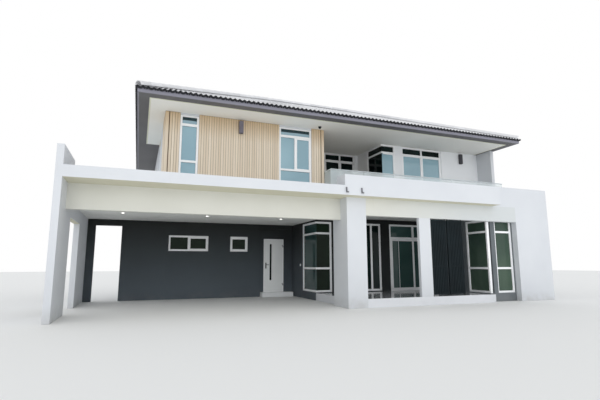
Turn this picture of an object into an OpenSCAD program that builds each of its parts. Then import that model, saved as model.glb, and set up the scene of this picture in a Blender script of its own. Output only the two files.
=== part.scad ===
// Detached two-storey house with an open carport, a porch and a balcony under one hipped roof.
// Plan values are measured from the left face of the fin wall (x) and the front face of the
// white parapet band (y). Heights are measured from the ground (z). All lengths are in mm.

/* [Plan] */
// Width of the carport, from the fin wall's outer face to the main pillar
carport_w = 7329; // [7200:1:7500]
// Width of the porch, from the bay to the wing
porch_w = 5153; // [5000:1:5300]
// Width of the wing
wing_w = 2490; // [2450:10:2600]
// How far the facade frame reaches past the right-hand walls
facade_reach = 170; // [100:10:250]
// Front of the band to the back edge of the roof
house_d = 12000; // [11500:10:12500]
// Back walls to the back edge of the roof
back_set = 800; // [700:10:900]
// Fin wall's outer face to the left-hand walls of the main block
left_x = 2340; // [2200:10:2450]
// Thickness of the outer walls
wall = 150; // [120:10:180]
// Thickness of the white facade frame in front of the porch and the wing
facade_t = 200; // [150:10:240]

/* [Levels] */
// Top of the porch floor
floor_z = 250; // [220:10:270]
// Top of the floors indoors
room_floor_z = 200; // [150:10:205]
// Underside of the ceilings over the carport and the porch
ceiling_z = 2770; // [2700:10:2850]
// Thickness of those ceilings
ceiling_t = 180; // [120:10:220]
// Thickness of the first floor and of the balcony floor
upper_slab_t = 200; // [150:10:260]
// Height of the upper storey, from its floor to the eaves
upper_h = 2660; // [2500:10:2800]

/* [Carport] */
// Depth of the fin wall at the left front corner
fin_d = 1655; // [1400:5:1800]
// Height of the fin wall
fin_h = 3880; // [3700:10:4000]
// Front end of the garden side wall
side_wall_y = 3450; // [3000:10:4000]
// Drop of the beam along the left side, below the ceiling
side_beam_drop = 370; // [300:10:450]
// Front face of the beam across the carport
front_beam_y = 780; // [600:10:900]
// Drop of that beam below the ceiling
front_beam_drop = 246; // [200:2:300]
// Front face of the dark wall at the back of the carport
dark_wall_y = 5520; // [5300:10:5700]
// Left side of the archway to the garden
arch_x = 397; // [300:1:500]
// Width of the archway
arch_w = 830; // [700:10:900]
// Height of the archway
arch_h = 2563; // [2300:1:2650]
// Radius of the downlights in the carport ceiling
downlight_r = 60; // [40:1:90]

/* [Band and parapets] */
// Height of the band's underside over the ceilings' slab
band_rise = 195; // [150:5:250]
// Thickness of the overhanging slab behind the band
canopy_t = 120; // [100:5:150]
// Thickness of the carport parapet
parapet_t = 120; // [100:5:200]
// Height of the parapet over the carport, above the slab
low_parapet_h = 153; // [100:1:250]
// Height of the parapet in front of the balcony, above the slab
balcony_parapet_h = 470; // [400:5:550]
// How far that parapet reaches past the main pillar on the left
balcony_parapet_reach = 229; // [150:1:400]
// Depth of that parapet
balcony_parapet_d = 510; // [300:10:600]
// How far the band reaches over the wing
band_over_wing = 120; // [80:10:200]
// Height of the wing's parapet above the band's underside
wing_parapet_h = 681; // [600:1:750]

/* [Pillar, column and facade] */
// Width of the main pillar
pillar_w = 629; // [500:1:700]
// Depth of the main pillar
pillar_d = 914; // [700:1:1000]
// Front face of the pillar, the porch beam and the wing's facade
facade_y = 370; // [300:10:450]
// Drop of the porch beam below the ceiling
porch_beam_drop = 135; // [70:5:210]
// Height of the porch's ceiling above the carport's
porch_ceiling_rise = 95; // [0:5:100]
// Bay to the porch column
column_set = 2263; // [2000:1:2300]
// Width of the porch column
column_w = 428; // [400:1:600]
// Depth of the porch column, flush with the front of the beam
column_d = 110; // [80:5:150]
// Width of the white wall at the right of the wing
facade_wall_w = 1530; // [1400:10:1600]

/* [Porch and rooms] */
// Main pillar's left side to the bay
bay_set = 218; // [180:1:300]
// Front face of the wall at the back of the porch
porch_back_y = 3160; // [3000:10:3300]

/* [Upper storey] */
// Front face of the timber-clad wall
timber_y = 2396; // [2200:1:2500]
// Main pillar's left side to the right end of the timber-clad block
timber_reach = 236; // [150:1:350]
// Thickness of the timber cladding
cladding_t = 30; // [20:1:50]
// Width of the balcony's main part, from the recess to the right-hand walls
balcony_w = 4863; // [4700:1:5000]
// Front face of the wall at the back of the recess
recess_y = 5035; // [4800:5:5300]
// Front edge of the wall at the balcony's right end
end_wall_y = 2414; // [2300:2:2700]

/* [Windows and doors] */
// Width of a window frame's bars on the face
bar = 60; // [45:1:75]
// Depth of a window frame
frame_d = 90; // [70:1:110]
// Thickness of the glass
glass_t = 12; // [6:1:20]
// Drop of the windows' heads downstairs below the ceiling
low_head_drop = 61; // [30:1:120]
// Height of the tall windows' feet above the porch floor
low_sill_h = 23; // [5:1:80]
// Drop of the windows' heads upstairs below the eaves
high_head_drop = 70; // [20:5:200]
// Height of those windows' feet above the floor upstairs
high_sill_h = 300; // [150:10:400]
// Foot of the slim windows high in a wall
strip_sill_z = 1708; // [1600:1:1800]
// Head of those windows
strip_head_z = 2272; // [2150:1:2350]
// Left side of the side door's frame to the bay
side_door_set = 1174; // [1150:1:1200]
// Width of the side door with its frame
side_door_w = 820; // [750:5:900]
// Head of the side door with its frame
side_head_z = 2213; // [2100:1:2300]
// Thickness of the side door's leaf
side_leaf_t = 40; // [35:1:50]
// Depth of the niche round the side door
niche_d = 60; // [40:5:80]
// Width of the sliding door with its frame
slider_w = 2140; // [2000:10:2200]
// Thickness of a sliding door's leaf
slider_leaf_t = 40; // [35:1:45]

/* [Roof] */
// How far the eaves reach past the left-hand walls
eaves_left = 798; // [700:2:900]
// How far the eaves reach past the right-hand walls
eaves_right = 75; // [50:5:100]
// Front edge of the eaves
eaves_y = 1194; // [1000:2:1400]
// Pitch of the roof
pitch = 24; // [18:1:30]
// Height of the fascia
fascia_h = 133; // [110:1:180]
// Thickness of the tiled covering
tile_t = 65; // [50:5:120]
// How far the lowest tiles reach past the fascia
tile_overhang = 70; // [20:5:90]
// Width of the dark strip under the eaves
dark_strip = 320; // [250:5:400]
// Radius of the ridge and hip caps
cap_r = 110; // [80:5:140]

/* [Balustrade] */
// Front face of the balcony's glass balustrade
balustrade_y = 1925; // [1600:5:2100]
// Timber-clad block to the return of the balustrade
balustrade_set = 10; // [5:5:300]
// Height of the balustrade above the balcony floor
balustrade_h = 1205; // [1000:5:1300]

/* [Shutters] */
// Gap between the porch column and the first shutter
shutter_set = 43; // [15:1:80]
// Width of a shutter
shutter_w = 600; // [500:10:620]
// Gap between the two shutters
shutter_gap = 50; // [20:5:90]
// Thickness of a shutter
shutter_t = 45; // [35:1:60]
// Number of ribs in a shutter
shutter_ribs = 8; // [6:1:10]

/* [Hidden] */

fit_gap = 0.3;
white = "white";
charcoal = [0.2, 0.22, 0.25];
timber = [0.8, 0.71, 0.58];
glass_blue = [0.5, 0.62, 0.66, 0.5];

pillar_x = carport_w;
bay_x = pillar_x + bay_set;
wing_x = bay_x + porch_w;
right_x = wing_x + wing_w;
house_w = right_x + facade_reach;
back_y = house_d - back_set;

side_beam_z = ceiling_z - side_beam_drop;
front_beam_z = ceiling_z - front_beam_drop;
porch_beam_z = ceiling_z - porch_beam_drop;
wall_top = ceiling_z + ceiling_t;
upper_z = wall_top + upper_slab_t;
eaves_z = upper_z + upper_h;
band_z = wall_top + band_rise;
canopy_z = band_z + canopy_t;
wing_parapet_z = band_z + wing_parapet_h;

facade_back = facade_y + facade_t;
facade_wall_x = house_w - facade_wall_w;
band_end_x = wing_x + band_over_wing;
column_x = bay_x + column_set;
timber_end_x = pillar_x + timber_reach;
corner_x = right_x - balcony_w;
pillar_back = facade_y + pillar_d;
front_beam_back = front_beam_y + facade_t;
arch_end = arch_x + arch_w;
inner_left = left_x + wall;
inner_right = right_x - wall;
inner_back = back_y - wall;
dark_wall_back = dark_wall_y + wall;
bay_in = bay_x + wall;
porch_back_in = porch_back_y + wall;
wing_in = wing_x + wall;
wing_front_in = facade_back + wall;
block_in = timber_end_x - wall;
recess_in = recess_y + wall;
corner_in = corner_x + wall;
upper_front_y = timber_y + cladding_t;
upper_front_in = upper_front_y + wall;

low_head_z = ceiling_z - low_head_drop;
low_sill_z = floor_z + low_sill_h;
high_head_z = eaves_z - high_head_drop;
high_sill_z = upper_z + high_sill_h;
side_door_x = bay_x - side_door_set;
slider_x = wing_x - slider_w;

// Openings: [left or front, right or back, foot, head]
function low_opening(u, w) = [u, u + w, low_sill_z, low_head_z];
function high_opening(u, w) = [u, u + w, high_sill_z, high_head_z];
function balcony_opening(u, w) = [u, u + w, high_sill_z, eaves_z];
function strip_opening(u, w) = [u, u + w, strip_sill_z, strip_head_z];
slider_window = strip_opening(left_x + 458, 1421);
awning_window = strip_opening(bay_x - 2510, 679);
bay_front = low_opening(bay_x, 610);
bay_side = low_opening(porch_back_y, 1218);
porch_window = low_opening(slider_x - 1150, 780);
wing_side = low_opening(facade_back, 960);
wing_window = [wing_x + 340, facade_wall_x - 30, low_sill_z, low_head_z];
narrow_window = high_opening(left_x + 439, 563);
timber_window = high_opening(timber_end_x - 1619, 1152);
corner_front = balcony_opening(corner_x, 618);
corner_side = balcony_opening(porch_back_y, 1090);
balcony_window = balcony_opening(right_x - 3922, 1897);
recess_window = [timber_end_x + 555, corner_x - 134, upper_z + 80, eaves_z];

// Windows of the sides that the front hides, in the same sizes
garden_window = [0, 1152, 1000, 2590];
bath_window = strip_opening(0, 680);

// The spouts reach past the front of the band
spout_r = 19;
spout_reach = 25 + spout_r;
module at_origin() translate([-house_w / 2, -(house_d - spout_reach) / 2, 0]) children();

// A box between two corners
module block(x0, x1, y0, y1, z0, z1) translate([x0, y0, z0]) cube([x1 - x0, y1 - y0, z1 - z0]);

// An opening through a wall that faces the front or the back
module cut_x(o, y0, y1) block(o[0], o[1], y0 - 10, y1 + 10, o[2], o[3]);

// An opening through a side wall
module cut_y(o, x0, x1) block(x0 - 10, x1 + 10, o[0], o[1], o[2], o[3]);

// The same opening, cut past the eaves
function past_eaves(o) = [o[0], o[1], o[2], eaves_z + 10];

function middle(o) = (o[0] + o[1]) / 2;
function thirds(o) = [for (i = [1, 2]) o[0] + i * (o[1] - o[0]) / 3];
function moved(o, d) = [o[0] + d, o[1] + d, o[2], o[3]];
function raised(o, d) = [o[0], o[1], o[2] + d, o[3] + d];

module carport_fin_wall() color(white)
  block(0, wall, 0, fin_d, 0, fin_h);

// The wall along the left side and the beam over the way through to the garden
module carport_side_wall() color(white) {
  block(0, wall, side_wall_y, dark_wall_back, 0, side_beam_z - fit_gap);
  block(0, wall, fin_d, dark_wall_back, side_beam_z, wall_top);
}

module carport_front_beam() color(white)
  block(wall, pillar_x, front_beam_y, front_beam_back, front_beam_z, band_z);

module pillar_space() block(pillar_x, pillar_x + pillar_w, facade_y, pillar_back, -10, wall_top + 10);

module carport_ceiling() color(white) difference() {
  block(wall, bay_x, front_beam_back, dark_wall_y, ceiling_z, wall_top);
  pillar_space();
}

downlight_ends = [1304, pillar_x - 1016];
downlight_y = 3300;
module carport_downlights() color("silver")
  for (x = [downlight_ends[0], middle(downlight_ends), downlight_ends[1]])
    translate([x, downlight_y, ceiling_z - 12])
      difference() {
        cylinder(r = downlight_r, h = 12, $fn = 32);
        translate([0, 0, -1]) cylinder(r = downlight_r - 14, h = 6, $fn = 32);
      }

// The overhanging slab, deeper over the carport, and the low parapet along its front edge
module carport_band() color(white) {
  block(wall, pillar_x - fit_gap, 0, front_beam_back, band_z, canopy_z);
  block(pillar_x, band_end_x, 0, facade_back, band_z, canopy_z);
  block(wall, balcony_parapet_x, 0, parapet_t, canopy_z + fit_gap, canopy_z + low_parapet_h);
}

balcony_parapet_x = pillar_x - balcony_parapet_reach;
module balcony_parapet() color(white)
  block(balcony_parapet_x, band_end_x, 0, balcony_parapet_d, canopy_z, canopy_z + balcony_parapet_h);

// Bent overflow pipes on the front of the band
spout_h = 140;
module overflow_spouts() color("dimgray")
  for (x = [pillar_x - 194, pillar_x + 289])
    translate([x, spout_r - spout_reach, band_z + 80]) {
      cylinder(r = spout_r, h = spout_h, $fn = 24);
      rotate([0, 90, 0]) cylinder(r = spout_r, h = 60, $fn = 24);
      translate([0, 0, spout_h - 20]) rotate([-90, 0, 0])
        cylinder(r = spout_r, h = spout_reach - spout_r, $fn = 24);
    }

// The post and the lintel of the archway to the garden
module archway_wall() color(charcoal) {
  block(wall, arch_x, dark_wall_y, dark_wall_back, 0, wall_top);
  block(arch_x + fit_gap, arch_end, dark_wall_y, dark_wall_back, arch_h, wall_top);
}

door_gap = 5;
jamb_t = 35;
step_z = 170;
side_sill_t = 43;
side_hole = [side_door_x, side_door_x + side_door_w];
niche_x = side_door_x - 178;
niche_z = 2600;
module niche() block(niche_x, bay_x + 10, dark_wall_y - 10, dark_wall_y + niche_d, -10, niche_z);

module carport_back_wall() color(charcoal) difference() {
  block(arch_end, side_hole[0], dark_wall_y, dark_wall_back, 0, wall_top);
  cut_x(slider_window, dark_wall_y, dark_wall_back);
  cut_x(awning_window, dark_wall_y, dark_wall_back);
  niche();
}

// The wall over the side door and to its right, set back in a niche
module side_door_wall() color(charcoal) difference() {
  union() {
    block(side_hole[0], side_hole[1] - fit_gap, dark_wall_y, dark_wall_back, side_head_z, wall_top);
    block(side_hole[1], bay_x, dark_wall_y, dark_wall_back, 0, wall_top);
  }
  niche();
}

module side_door_step() color("lightgray") union() {
  block(niche_x + 50, bay_x - 50, dark_wall_y - 240, dark_wall_y + niche_d, 0, step_z);
  block(side_hole[0], side_hole[1], dark_wall_y + niche_d, dark_wall_back, 0, step_z);
}

side_leaf = [side_hole[0] + jamb_t + door_gap, side_hole[1] - jamb_t - door_gap,
  step_z + side_sill_t + door_gap, side_head_z - jamb_t - door_gap];
side_leaf_y = dark_wall_y + niche_d;
side_leaf_h = side_leaf[3] - side_leaf[2];
slot_w = 62;
slot_x = side_leaf[0] + 240;
slot_z = [side_leaf[2] + 390, side_leaf[3] - 150];
handle_z = side_leaf[2] + 960;
hinge_r = 8;
pin_r = 4;
hinge_half = 45;
hinge_plate = [30, 5];
hinge_reach = hinge_r + 2;
hinge_x = side_leaf[1] + door_gap / 2;
hinge_y = side_leaf_y - hinge_reach;
hinge_zs = [for (k = [0.12, 0.88]) side_leaf[2] + k * side_leaf_h - hinge_half];

// The frame carries the lower knuckle and the pin of each hinge
module side_door_frame() color("gainsboro") union() {
  difference() {
    block(side_hole[0], side_hole[1], side_leaf_y, dark_wall_back, step_z, side_head_z);
    block(side_hole[0] + jamb_t, side_hole[1] - jamb_t, side_leaf_y - 10, dark_wall_back + 10,
      step_z + side_sill_t, side_head_z - jamb_t);
  }
  for (z = hinge_zs) translate([hinge_x, hinge_y, z]) {
    cylinder(r = hinge_r, h = hinge_half, $fn = 32);
    cylinder(r = pin_r, h = 2 * hinge_half, $fn = 32);
    block(0, hinge_plate[0], hinge_reach - hinge_plate[1], hinge_reach, 0, hinge_half);
  }
}

// The leaf carries the upper knuckle of each hinge and a round-ended slot for its strip of dark glass
module side_door_leaf() color("whitesmoke") difference() {
  union() {
    block(side_leaf[0], side_leaf[1], side_leaf_y, side_leaf_y + side_leaf_t, side_leaf[2], side_leaf[3]);
    for (z = hinge_zs) translate([hinge_x, hinge_y, z + hinge_half + fit_gap]) {
      cylinder(r = hinge_r, h = hinge_half, $fn = 32);
      block(-hinge_plate[0], 0, hinge_reach - hinge_plate[1], hinge_reach, 0, hinge_half);
    }
  }
  for (z = hinge_zs) translate([hinge_x, hinge_y, z + hinge_half])
    cylinder(r = pin_r + fit_gap, h = 2 * hinge_half, $fn = 32);
  translate([slot_x, side_leaf_y - 5, 0]) rotate([-90, 0, 0]) linear_extrude(15) {
    translate([-slot_w / 2, -slot_z[1]]) square([slot_w, slot_z[1] - slot_z[0]]);
    for (z = slot_z) translate([0, -z]) circle(d = slot_w, $fn = 32);
  }
}

// Lever handles on both faces of the side door
module side_door_handle() color("dimgray")
  for (side = [0, 1])
    translate([side_leaf[0] + 55, side_leaf_y + side * side_leaf_t, handle_z])
      mirror([0, 1 - side, 0]) {
        block(-22, 22, 0, 10, -110, 110);
        translate([0, 10, 30]) rotate([-90, 0, 0]) cylinder(r = 10, h = 40, $fn = 24);
        block(-10, 120, 40, 54, 20, 40);
      }

// The pillar: its head reaches back beside the carport's beam, up to the balcony floor's edge
module main_pillar() color(white) union() {
  block(pillar_x, pillar_x + pillar_w, facade_y, facade_back, 0, band_z);
  block(pillar_x, timber_end_x, facade_y, front_beam_back, 0, band_z);
  block(pillar_x, pillar_x + pillar_w, facade_y, pillar_back, 0, wall_top);
}

module porch_column() color(white)
  block(column_x, column_x + column_w, facade_y, facade_y + column_d, floor_z, porch_beam_z);

module porch_beam() color(white)
  block(pillar_x + pillar_w, facade_wall_x, facade_y, facade_back, porch_beam_z, band_z);

// The porch floor, with the sill of the sliding door
module porch_floor() color("lightgray") difference() {
  union() {
    block(bay_x, wing_x, facade_y, porch_back_y, 0, floor_z);
    block(slider_x, wing_x, porch_back_y, porch_back_in, 0, floor_z);
  }
  pillar_space();
}

module porch_ceiling() color(white) difference() {
  block(bay_x, wing_x, facade_back, porch_back_y, ceiling_z + porch_ceiling_rise, wall_top);
  pillar_space();
}

module bay_side_wall() color(charcoal) difference() {
  block(bay_x, bay_in, porch_back_y, dark_wall_back, 0, wall_top);
  cut_y(bay_side, bay_x, bay_in);
}

// The wall at the back of the porch, with the lintel of the sliding door
module porch_back_wall() color(charcoal) difference() {
  union() {
    block(bay_in, slider_x, porch_back_y, porch_back_in, 0, wall_top);
    block(slider_x + fit_gap, wing_x, porch_back_y, porch_back_in, low_head_z, wall_top);
  }
  cut_x(bay_front, porch_back_y, porch_back_in);
  cut_x(porch_window, porch_back_y, porch_back_in);
}

slider_sill_z = floor_z;
slider_transom_z = low_head_z - 539;
slider_mid = (slider_x + wing_x) / 2;
slider_rail = 70;
slider_track_d = 130;
slider_sill_t = 30;
slider_in = [slider_x + bar, wing_x - bar];
slider_floor = slider_sill_z + slider_sill_t;
slider_leaf_y = porch_back_y + 20;
slider_leaf = [slider_in[0] + door_gap, slider_mid + slider_rail / 2,
  slider_floor + door_gap, slider_transom_z - door_gap];
fixed_leaf = [slider_mid - slider_rail / 2, slider_in[1], slider_floor, slider_transom_z];
fixed_leaf_y = slider_leaf_y + slider_leaf_t + 12;
head_light = [slider_transom_z + bar, low_head_z - bar];
head_lights = [[slider_in[0], slider_mid - bar / 2], [slider_mid + bar / 2, slider_in[1]]];

// The stiles and rails of a leaf, open in the middle
module leaf_frame(o, y) difference() {
  block(o[0], o[1], y, y + slider_leaf_t, o[2], o[3]);
  block(o[0] + slider_rail, o[1] - slider_rail, y - 10, y + slider_leaf_t + 10,
    o[2] + slider_rail, o[3] - slider_rail);
}

module leaf_pane(o, y) {
  mid = y + slider_leaf_t / 2;
  block(o[0] + slider_rail, o[1] - slider_rail, mid - glass_t / 2, mid + glass_t / 2,
    o[2] + slider_rail, o[3] - slider_rail);
}

// The outer frame with its fixed leaf, its lights over the transom and the rail of the sliding leaf
module sliding_door_frame() color("whitesmoke") union() {
  difference() {
    block(slider_x, wing_x, porch_back_y, porch_back_y + slider_track_d, slider_sill_z, low_head_z);
    block(slider_in[0], slider_in[1], porch_back_y - 10, porch_back_in, slider_floor, slider_transom_z);
    for (h = head_lights)
      block(h[0], h[1], porch_back_y - 10, porch_back_in, head_light[0], head_light[1]);
  }
  leaf_frame(fixed_leaf, fixed_leaf_y);
  block(slider_in[0], slider_in[1], slider_leaf_y + slider_leaf_t / 2 - 4,
    slider_leaf_y + slider_leaf_t / 2 + 4, slider_floor, slider_leaf[2] - fit_gap);
}

module sliding_door_leaf() color("whitesmoke") leaf_frame(slider_leaf, slider_leaf_y);

module sliding_door_glass() color(glass_blue) leaf_pane(slider_leaf, slider_leaf_y);

// The side wall towards the porch and the front wall set back behind the facade
module wing_walls() color(charcoal) difference() {
  union() {
    block(wing_x, wing_in, facade_back, porch_back_in, 0, wall_top);
    block(wing_in + fit_gap, facade_wall_x + wall, facade_back, wing_front_in, 0, wall_top);
  }
  cut_y(wing_side, wing_x, wing_in);
  cut_x(wing_window, facade_back, wing_front_in);
}

module wing_facade_wall() color(white)
  block(facade_wall_x, house_w, facade_y, facade_back, 0, band_z);

// The parapet over the wing and its return along the right side
module wing_parapet() color(white) {
  block(band_end_x, house_w, facade_y, facade_back - fit_gap, band_z, wing_parapet_z);
  block(inner_right, right_x, facade_back, end_wall_y, upper_z, wing_parapet_z);
}

shutter_foot = floor_z + 50;
shutter_x = column_x + column_w + shutter_set;
shutter_head = porch_beam_z - 25;
shutter_frame = 50;
shutter_groove = 12;
shutter_joint_z = shutter_foot + 860;
shutter_y = facade_y + 60;

// A shutter on pivots: a ribbed panel in a frame, parted by one cross bar
module shutter(x) {
  rib_pitch = (shutter_w - 2 * shutter_frame) / shutter_ribs;
  foot = shutter_foot + shutter_frame;
  head = shutter_head - shutter_frame;
  left = x + shutter_frame;
  difference() {
    block(x, x + shutter_w, shutter_y, shutter_y + shutter_t, shutter_foot, shutter_head);
    for (i = [0:shutter_ribs - 1])
      block(left + (i + 0.85) * rib_pitch, left + (i + 1) * rib_pitch, shutter_y - 10,
        shutter_y + shutter_groove, foot, head);
    block(left, x + shutter_w - shutter_frame, shutter_y - 10, shutter_y + shutter_groove,
      shutter_joint_z, shutter_joint_z + shutter_groove);
  }
  for (pin = [[floor_z, shutter_foot], [shutter_head, porch_beam_z]], side = [0, 1])
    translate([x + 30 + side * (shutter_w - 60), shutter_y + shutter_t / 2, pin[0]])
      cylinder(r = 12, h = pin[1] - pin[0], $fn = 24);
}

module shutter_panels() color([0.12, 0.15, 0.18]) {
  shutter(shutter_x);
  shutter(shutter_x + shutter_w + shutter_gap);
}

back_xs = [left_x + 1160, right_x - 6190, right_x - 2690];
back_bath_x = left_x + 4160;
left_ys = [back_y - 3200, back_y - 6000, back_y - 2600];
right_ys = [2000, back_y - 6200, back_y - 3200];

// The left wall is stepped: the upper storey reaches further forward than the ground floor
module left_wall() color(white) difference() {
  union() {
    block(left_x, inner_left, dark_wall_back, back_y, 0, wall_top);
    block(left_x + cladding_t, inner_left, upper_front_in, cladding_return_y, upper_z, eaves_z);
    block(left_x, inner_left, cladding_return_y, back_y, upper_z, eaves_z);
  }
  cut_y(moved(garden_window, left_ys[0]), left_x, inner_left);
  cut_y(raised(moved(garden_window, left_ys[1]), upper_z), left_x, inner_left);
  cut_y(raised(moved(bath_window, left_ys[2]), upper_z), left_x, inner_left);
}

module right_wall() color(white) difference() {
  union() {
    block(inner_right, right_x, facade_back, back_y, 0, wall_top);
    block(inner_right, right_x, end_wall_y + fit_gap, back_y, upper_z, eaves_z);
  }
  cut_y(moved(garden_window, right_ys[0]), inner_right, right_x);
  cut_y(moved(bath_window, right_ys[1]), inner_right, right_x);
  cut_y(moved(garden_window, right_ys[2]), inner_right, right_x);
  cut_y(raised(moved(bath_window, right_ys[1]), upper_z), inner_right, right_x);
  cut_y(raised(moved(garden_window, right_ys[2]), upper_z), inner_right, right_x);
}

module back_wall() color(white) difference() {
  union() {
    block(inner_left, inner_right, inner_back, back_y, 0, wall_top);
    block(inner_left, inner_right, inner_back, back_y, upper_z, eaves_z);
  }
  for (z = [0, upper_z]) {
    for (x = back_xs) cut_x(raised(moved(garden_window, x), z), inner_back, back_y);
    cut_x(raised(moved(bath_window, back_bath_x), z), inner_back, back_y);
  }
}

// The floors downstairs: the main block, the living room and the wing
module ground_floor() color("lightgray") {
  block(inner_left, inner_right, dark_wall_back, inner_back, 0, room_floor_z);
  block(bay_in, inner_right, porch_back_in, dark_wall_back - fit_gap, 0, room_floor_z);
  block(wing_in, inner_right, wing_front_in, porch_back_in - fit_gap, 0, room_floor_z);
}

module first_floor() color("gainsboro")
  block(left_x, right_x, timber_y, back_y, wall_top, upper_z);

module balcony_floor() color("gainsboro")
  block(timber_end_x, right_x, facade_back, timber_y, wall_top, upper_z);

module upper_front_wall() color(white) difference() {
  block(left_x + cladding_t, timber_end_x - cladding_t, upper_front_y, upper_front_in, upper_z, eaves_z);
  cut_x(narrow_window, upper_front_y, upper_front_in);
  cut_x(timber_window, upper_front_y, upper_front_in);
}

// The walls round the balcony: the block's side, the recess, its right side and the back
module balcony_walls() color(white) difference() {
  union() {
    block(block_in, timber_end_x - cladding_t, upper_front_in, recess_in, upper_z, eaves_z);
    block(timber_end_x - cladding_t + fit_gap, corner_x, recess_y, recess_in, upper_z, eaves_z);
    block(corner_x + fit_gap, corner_in, porch_back_y, recess_in, upper_z, eaves_z);
    block(corner_in + fit_gap, inner_right, porch_back_y, porch_back_in, upper_z, eaves_z);
  }
  cut_x(past_eaves(recess_window), recess_y, recess_in);
  cut_y(past_eaves(corner_side), corner_x, corner_in);
  cut_x(past_eaves(corner_front), porch_back_y, porch_back_in);
  cut_x(past_eaves(balcony_window), porch_back_y, porch_back_in);
}

// Vertical boards on the front of the block and on its two returns
cladding_return_y = timber_y + 1204;
module timber_cladding() color(timber) difference() {
  union() {
    block(left_x, timber_end_x, timber_y, upper_front_y, upper_z, eaves_z);
    block(left_x, left_x + cladding_t, upper_front_y, cladding_return_y, upper_z, eaves_z);
    block(timber_end_x - cladding_t, timber_end_x, upper_front_y, recess_y, upper_z, eaves_z);
  }
  cut_x(past_eaves(narrow_window), timber_y, upper_front_y);
  cut_x(past_eaves(timber_window), timber_y, upper_front_y);
}

// The lights of a window as [start, end, foot, head]: its levels part the rows, its uprights part
// the listed rows, and at an open corner the first light of a row starts at the given place
function lights(w, start) =
  let (o = w[0], zs = concat([o[2] + bar / 2], w[2], [o[3] - bar / 2]))
  [for (i = [0:len(zs) - 2])
    let (us = concat([o[0] + bar / 2], len(search(i, w[4])) > 0 ? w[3] : [], [o[1] - bar / 2]))
    for (j = [0:len(us) - 2])
      [w[5] != 0 && j == 0 ? start : us[j] + bar / 2, us[j + 1] - bar / 2,
        zs[i] + bar / 2, zs[i + 1] - bar / 2]];

// A window frame that faces the front or the back
module frame_x(w) difference() {
  block(w[0][0], w[0][1], w[1], w[1] + frame_d, w[0][2], w[0][3]);
  for (c = lights(w, w[0][0] - 10)) block(c[0], c[1], w[1] - 10, w[1] + frame_d + 10, c[2], c[3]);
}

// The same in a side wall
module frame_y(w) difference() {
  block(w[1], w[1] + frame_d, w[0][0], w[0][1], w[0][2], w[0][3]);
  for (c = lights(w, w[0][0] - 10)) block(w[1] - 10, w[1] + frame_d + 10, c[0], c[1], c[2], c[3]);
}

// The panes of such windows, one for each light; at an open corner two panes meet
module panes_x(w) {
  mid = w[1] + frame_d / 2;
  for (c = lights(w, w[0][0] - (frame_d - glass_t) / 2))
    block(c[0], c[1], mid - glass_t / 2, mid + glass_t / 2, c[2], c[3]);
}

module panes_y(w) {
  mid = w[1] + frame_d / 2;
  for (c = lights(w, w[0][0] + (frame_d - glass_t) / 2))
    block(mid - glass_t / 2, mid + glass_t / 2, c[0], c[1], c[2], c[3]);
}

low_bars = [low_sill_z + 812, low_head_z - 404];
high_bars = [high_sill_z + 860, high_head_z - 240];
all_rows = [0, 1, 2];
frame_set = 30;
function past_corner(o) = [o[0] + frame_d + fit_gap, o[1], o[2], o[3]];

// Windows of the hidden sides: a two-light window and a small one, at a place along the wall
function wide(u, z, face) =
  [raised(moved(garden_window, u), z), face, [], [u + middle(garden_window)], all_rows, 0];
function small(u, z, face) = [raised(moved(bath_window, u), z), face, [], [], all_rows, 0];

// Each window: opening, face of its frame, levels, uprights, the rows they part, open corner or not
low_front_windows = [
  [slider_window, dark_wall_y + frame_set, [], [middle(slider_window)], all_rows, 0],
  [awning_window, dark_wall_y + frame_set, [], [], all_rows, 0],
  [past_corner(bay_front), porch_back_y, low_bars, [], all_rows, 1],
  [porch_window, porch_back_y + frame_set, [], [middle(porch_window)], all_rows, 0],
  [wing_window, facade_back + frame_set, low_bars, [], all_rows, 0]];
high_front_windows = [
  [narrow_window, upper_front_y, high_bars, [], all_rows, 0],
  [timber_window, upper_front_y, high_bars, [middle(timber_window)], [1], 0],
  [recess_window, recess_y + frame_set, [high_bars[1]], thirds(recess_window), all_rows, 0],
  [past_corner(corner_front), porch_back_y, high_bars, [], all_rows, 1],
  [balcony_window, porch_back_y + frame_set, high_bars, [middle(balcony_window)], all_rows, 0]];
back_face = back_y - frame_set - frame_d;
right_face = right_x - frame_set - frame_d;
left_face = left_x + frame_set;
low_side_windows = [
  [bay_side, bay_x, low_bars, [], all_rows, 1],
  [wing_side, wing_x, low_bars, [], all_rows, 0],
  wide(left_ys[0], 0, left_face), wide(right_ys[0], 0, right_face),
  small(right_ys[1], 0, right_face), wide(right_ys[2], 0, right_face)];
high_side_windows = [
  [corner_side, corner_x, high_bars, [], all_rows, 1],
  wide(left_ys[1], upper_z, left_face), small(left_ys[2], upper_z, left_face),
  small(right_ys[1], upper_z, right_face), wide(right_ys[2], upper_z, right_face)];
function back_windows(z) =
  concat([for (x = back_xs) wide(x, z, back_face)], [small(back_bath_x, z, back_face)]);

module frames(across, along) {
  for (w = across) frame_x(w);
  for (w = along) frame_y(w);
}

module panes(across, along) {
  for (w = across) panes_x(w);
  for (w = along) panes_y(w);
}

module ground_window_frames() color("whitesmoke")
  frames(concat(low_front_windows, back_windows(0)), low_side_windows);

module upper_window_frames() color("whitesmoke")
  frames(concat(high_front_windows, back_windows(upper_z)), high_side_windows);

module ground_glass() color(glass_blue) union() {
  panes(concat(low_front_windows, back_windows(0)), low_side_windows);
  leaf_pane(fixed_leaf, fixed_leaf_y);
  for (h = head_lights)
    block(h[0], h[1], porch_back_y + 60, porch_back_y + 60 + glass_t, head_light[0], head_light[1]);
}

module upper_glass() color(glass_blue)
  panes(concat(high_front_windows, back_windows(upper_z)), high_side_windows);

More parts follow.
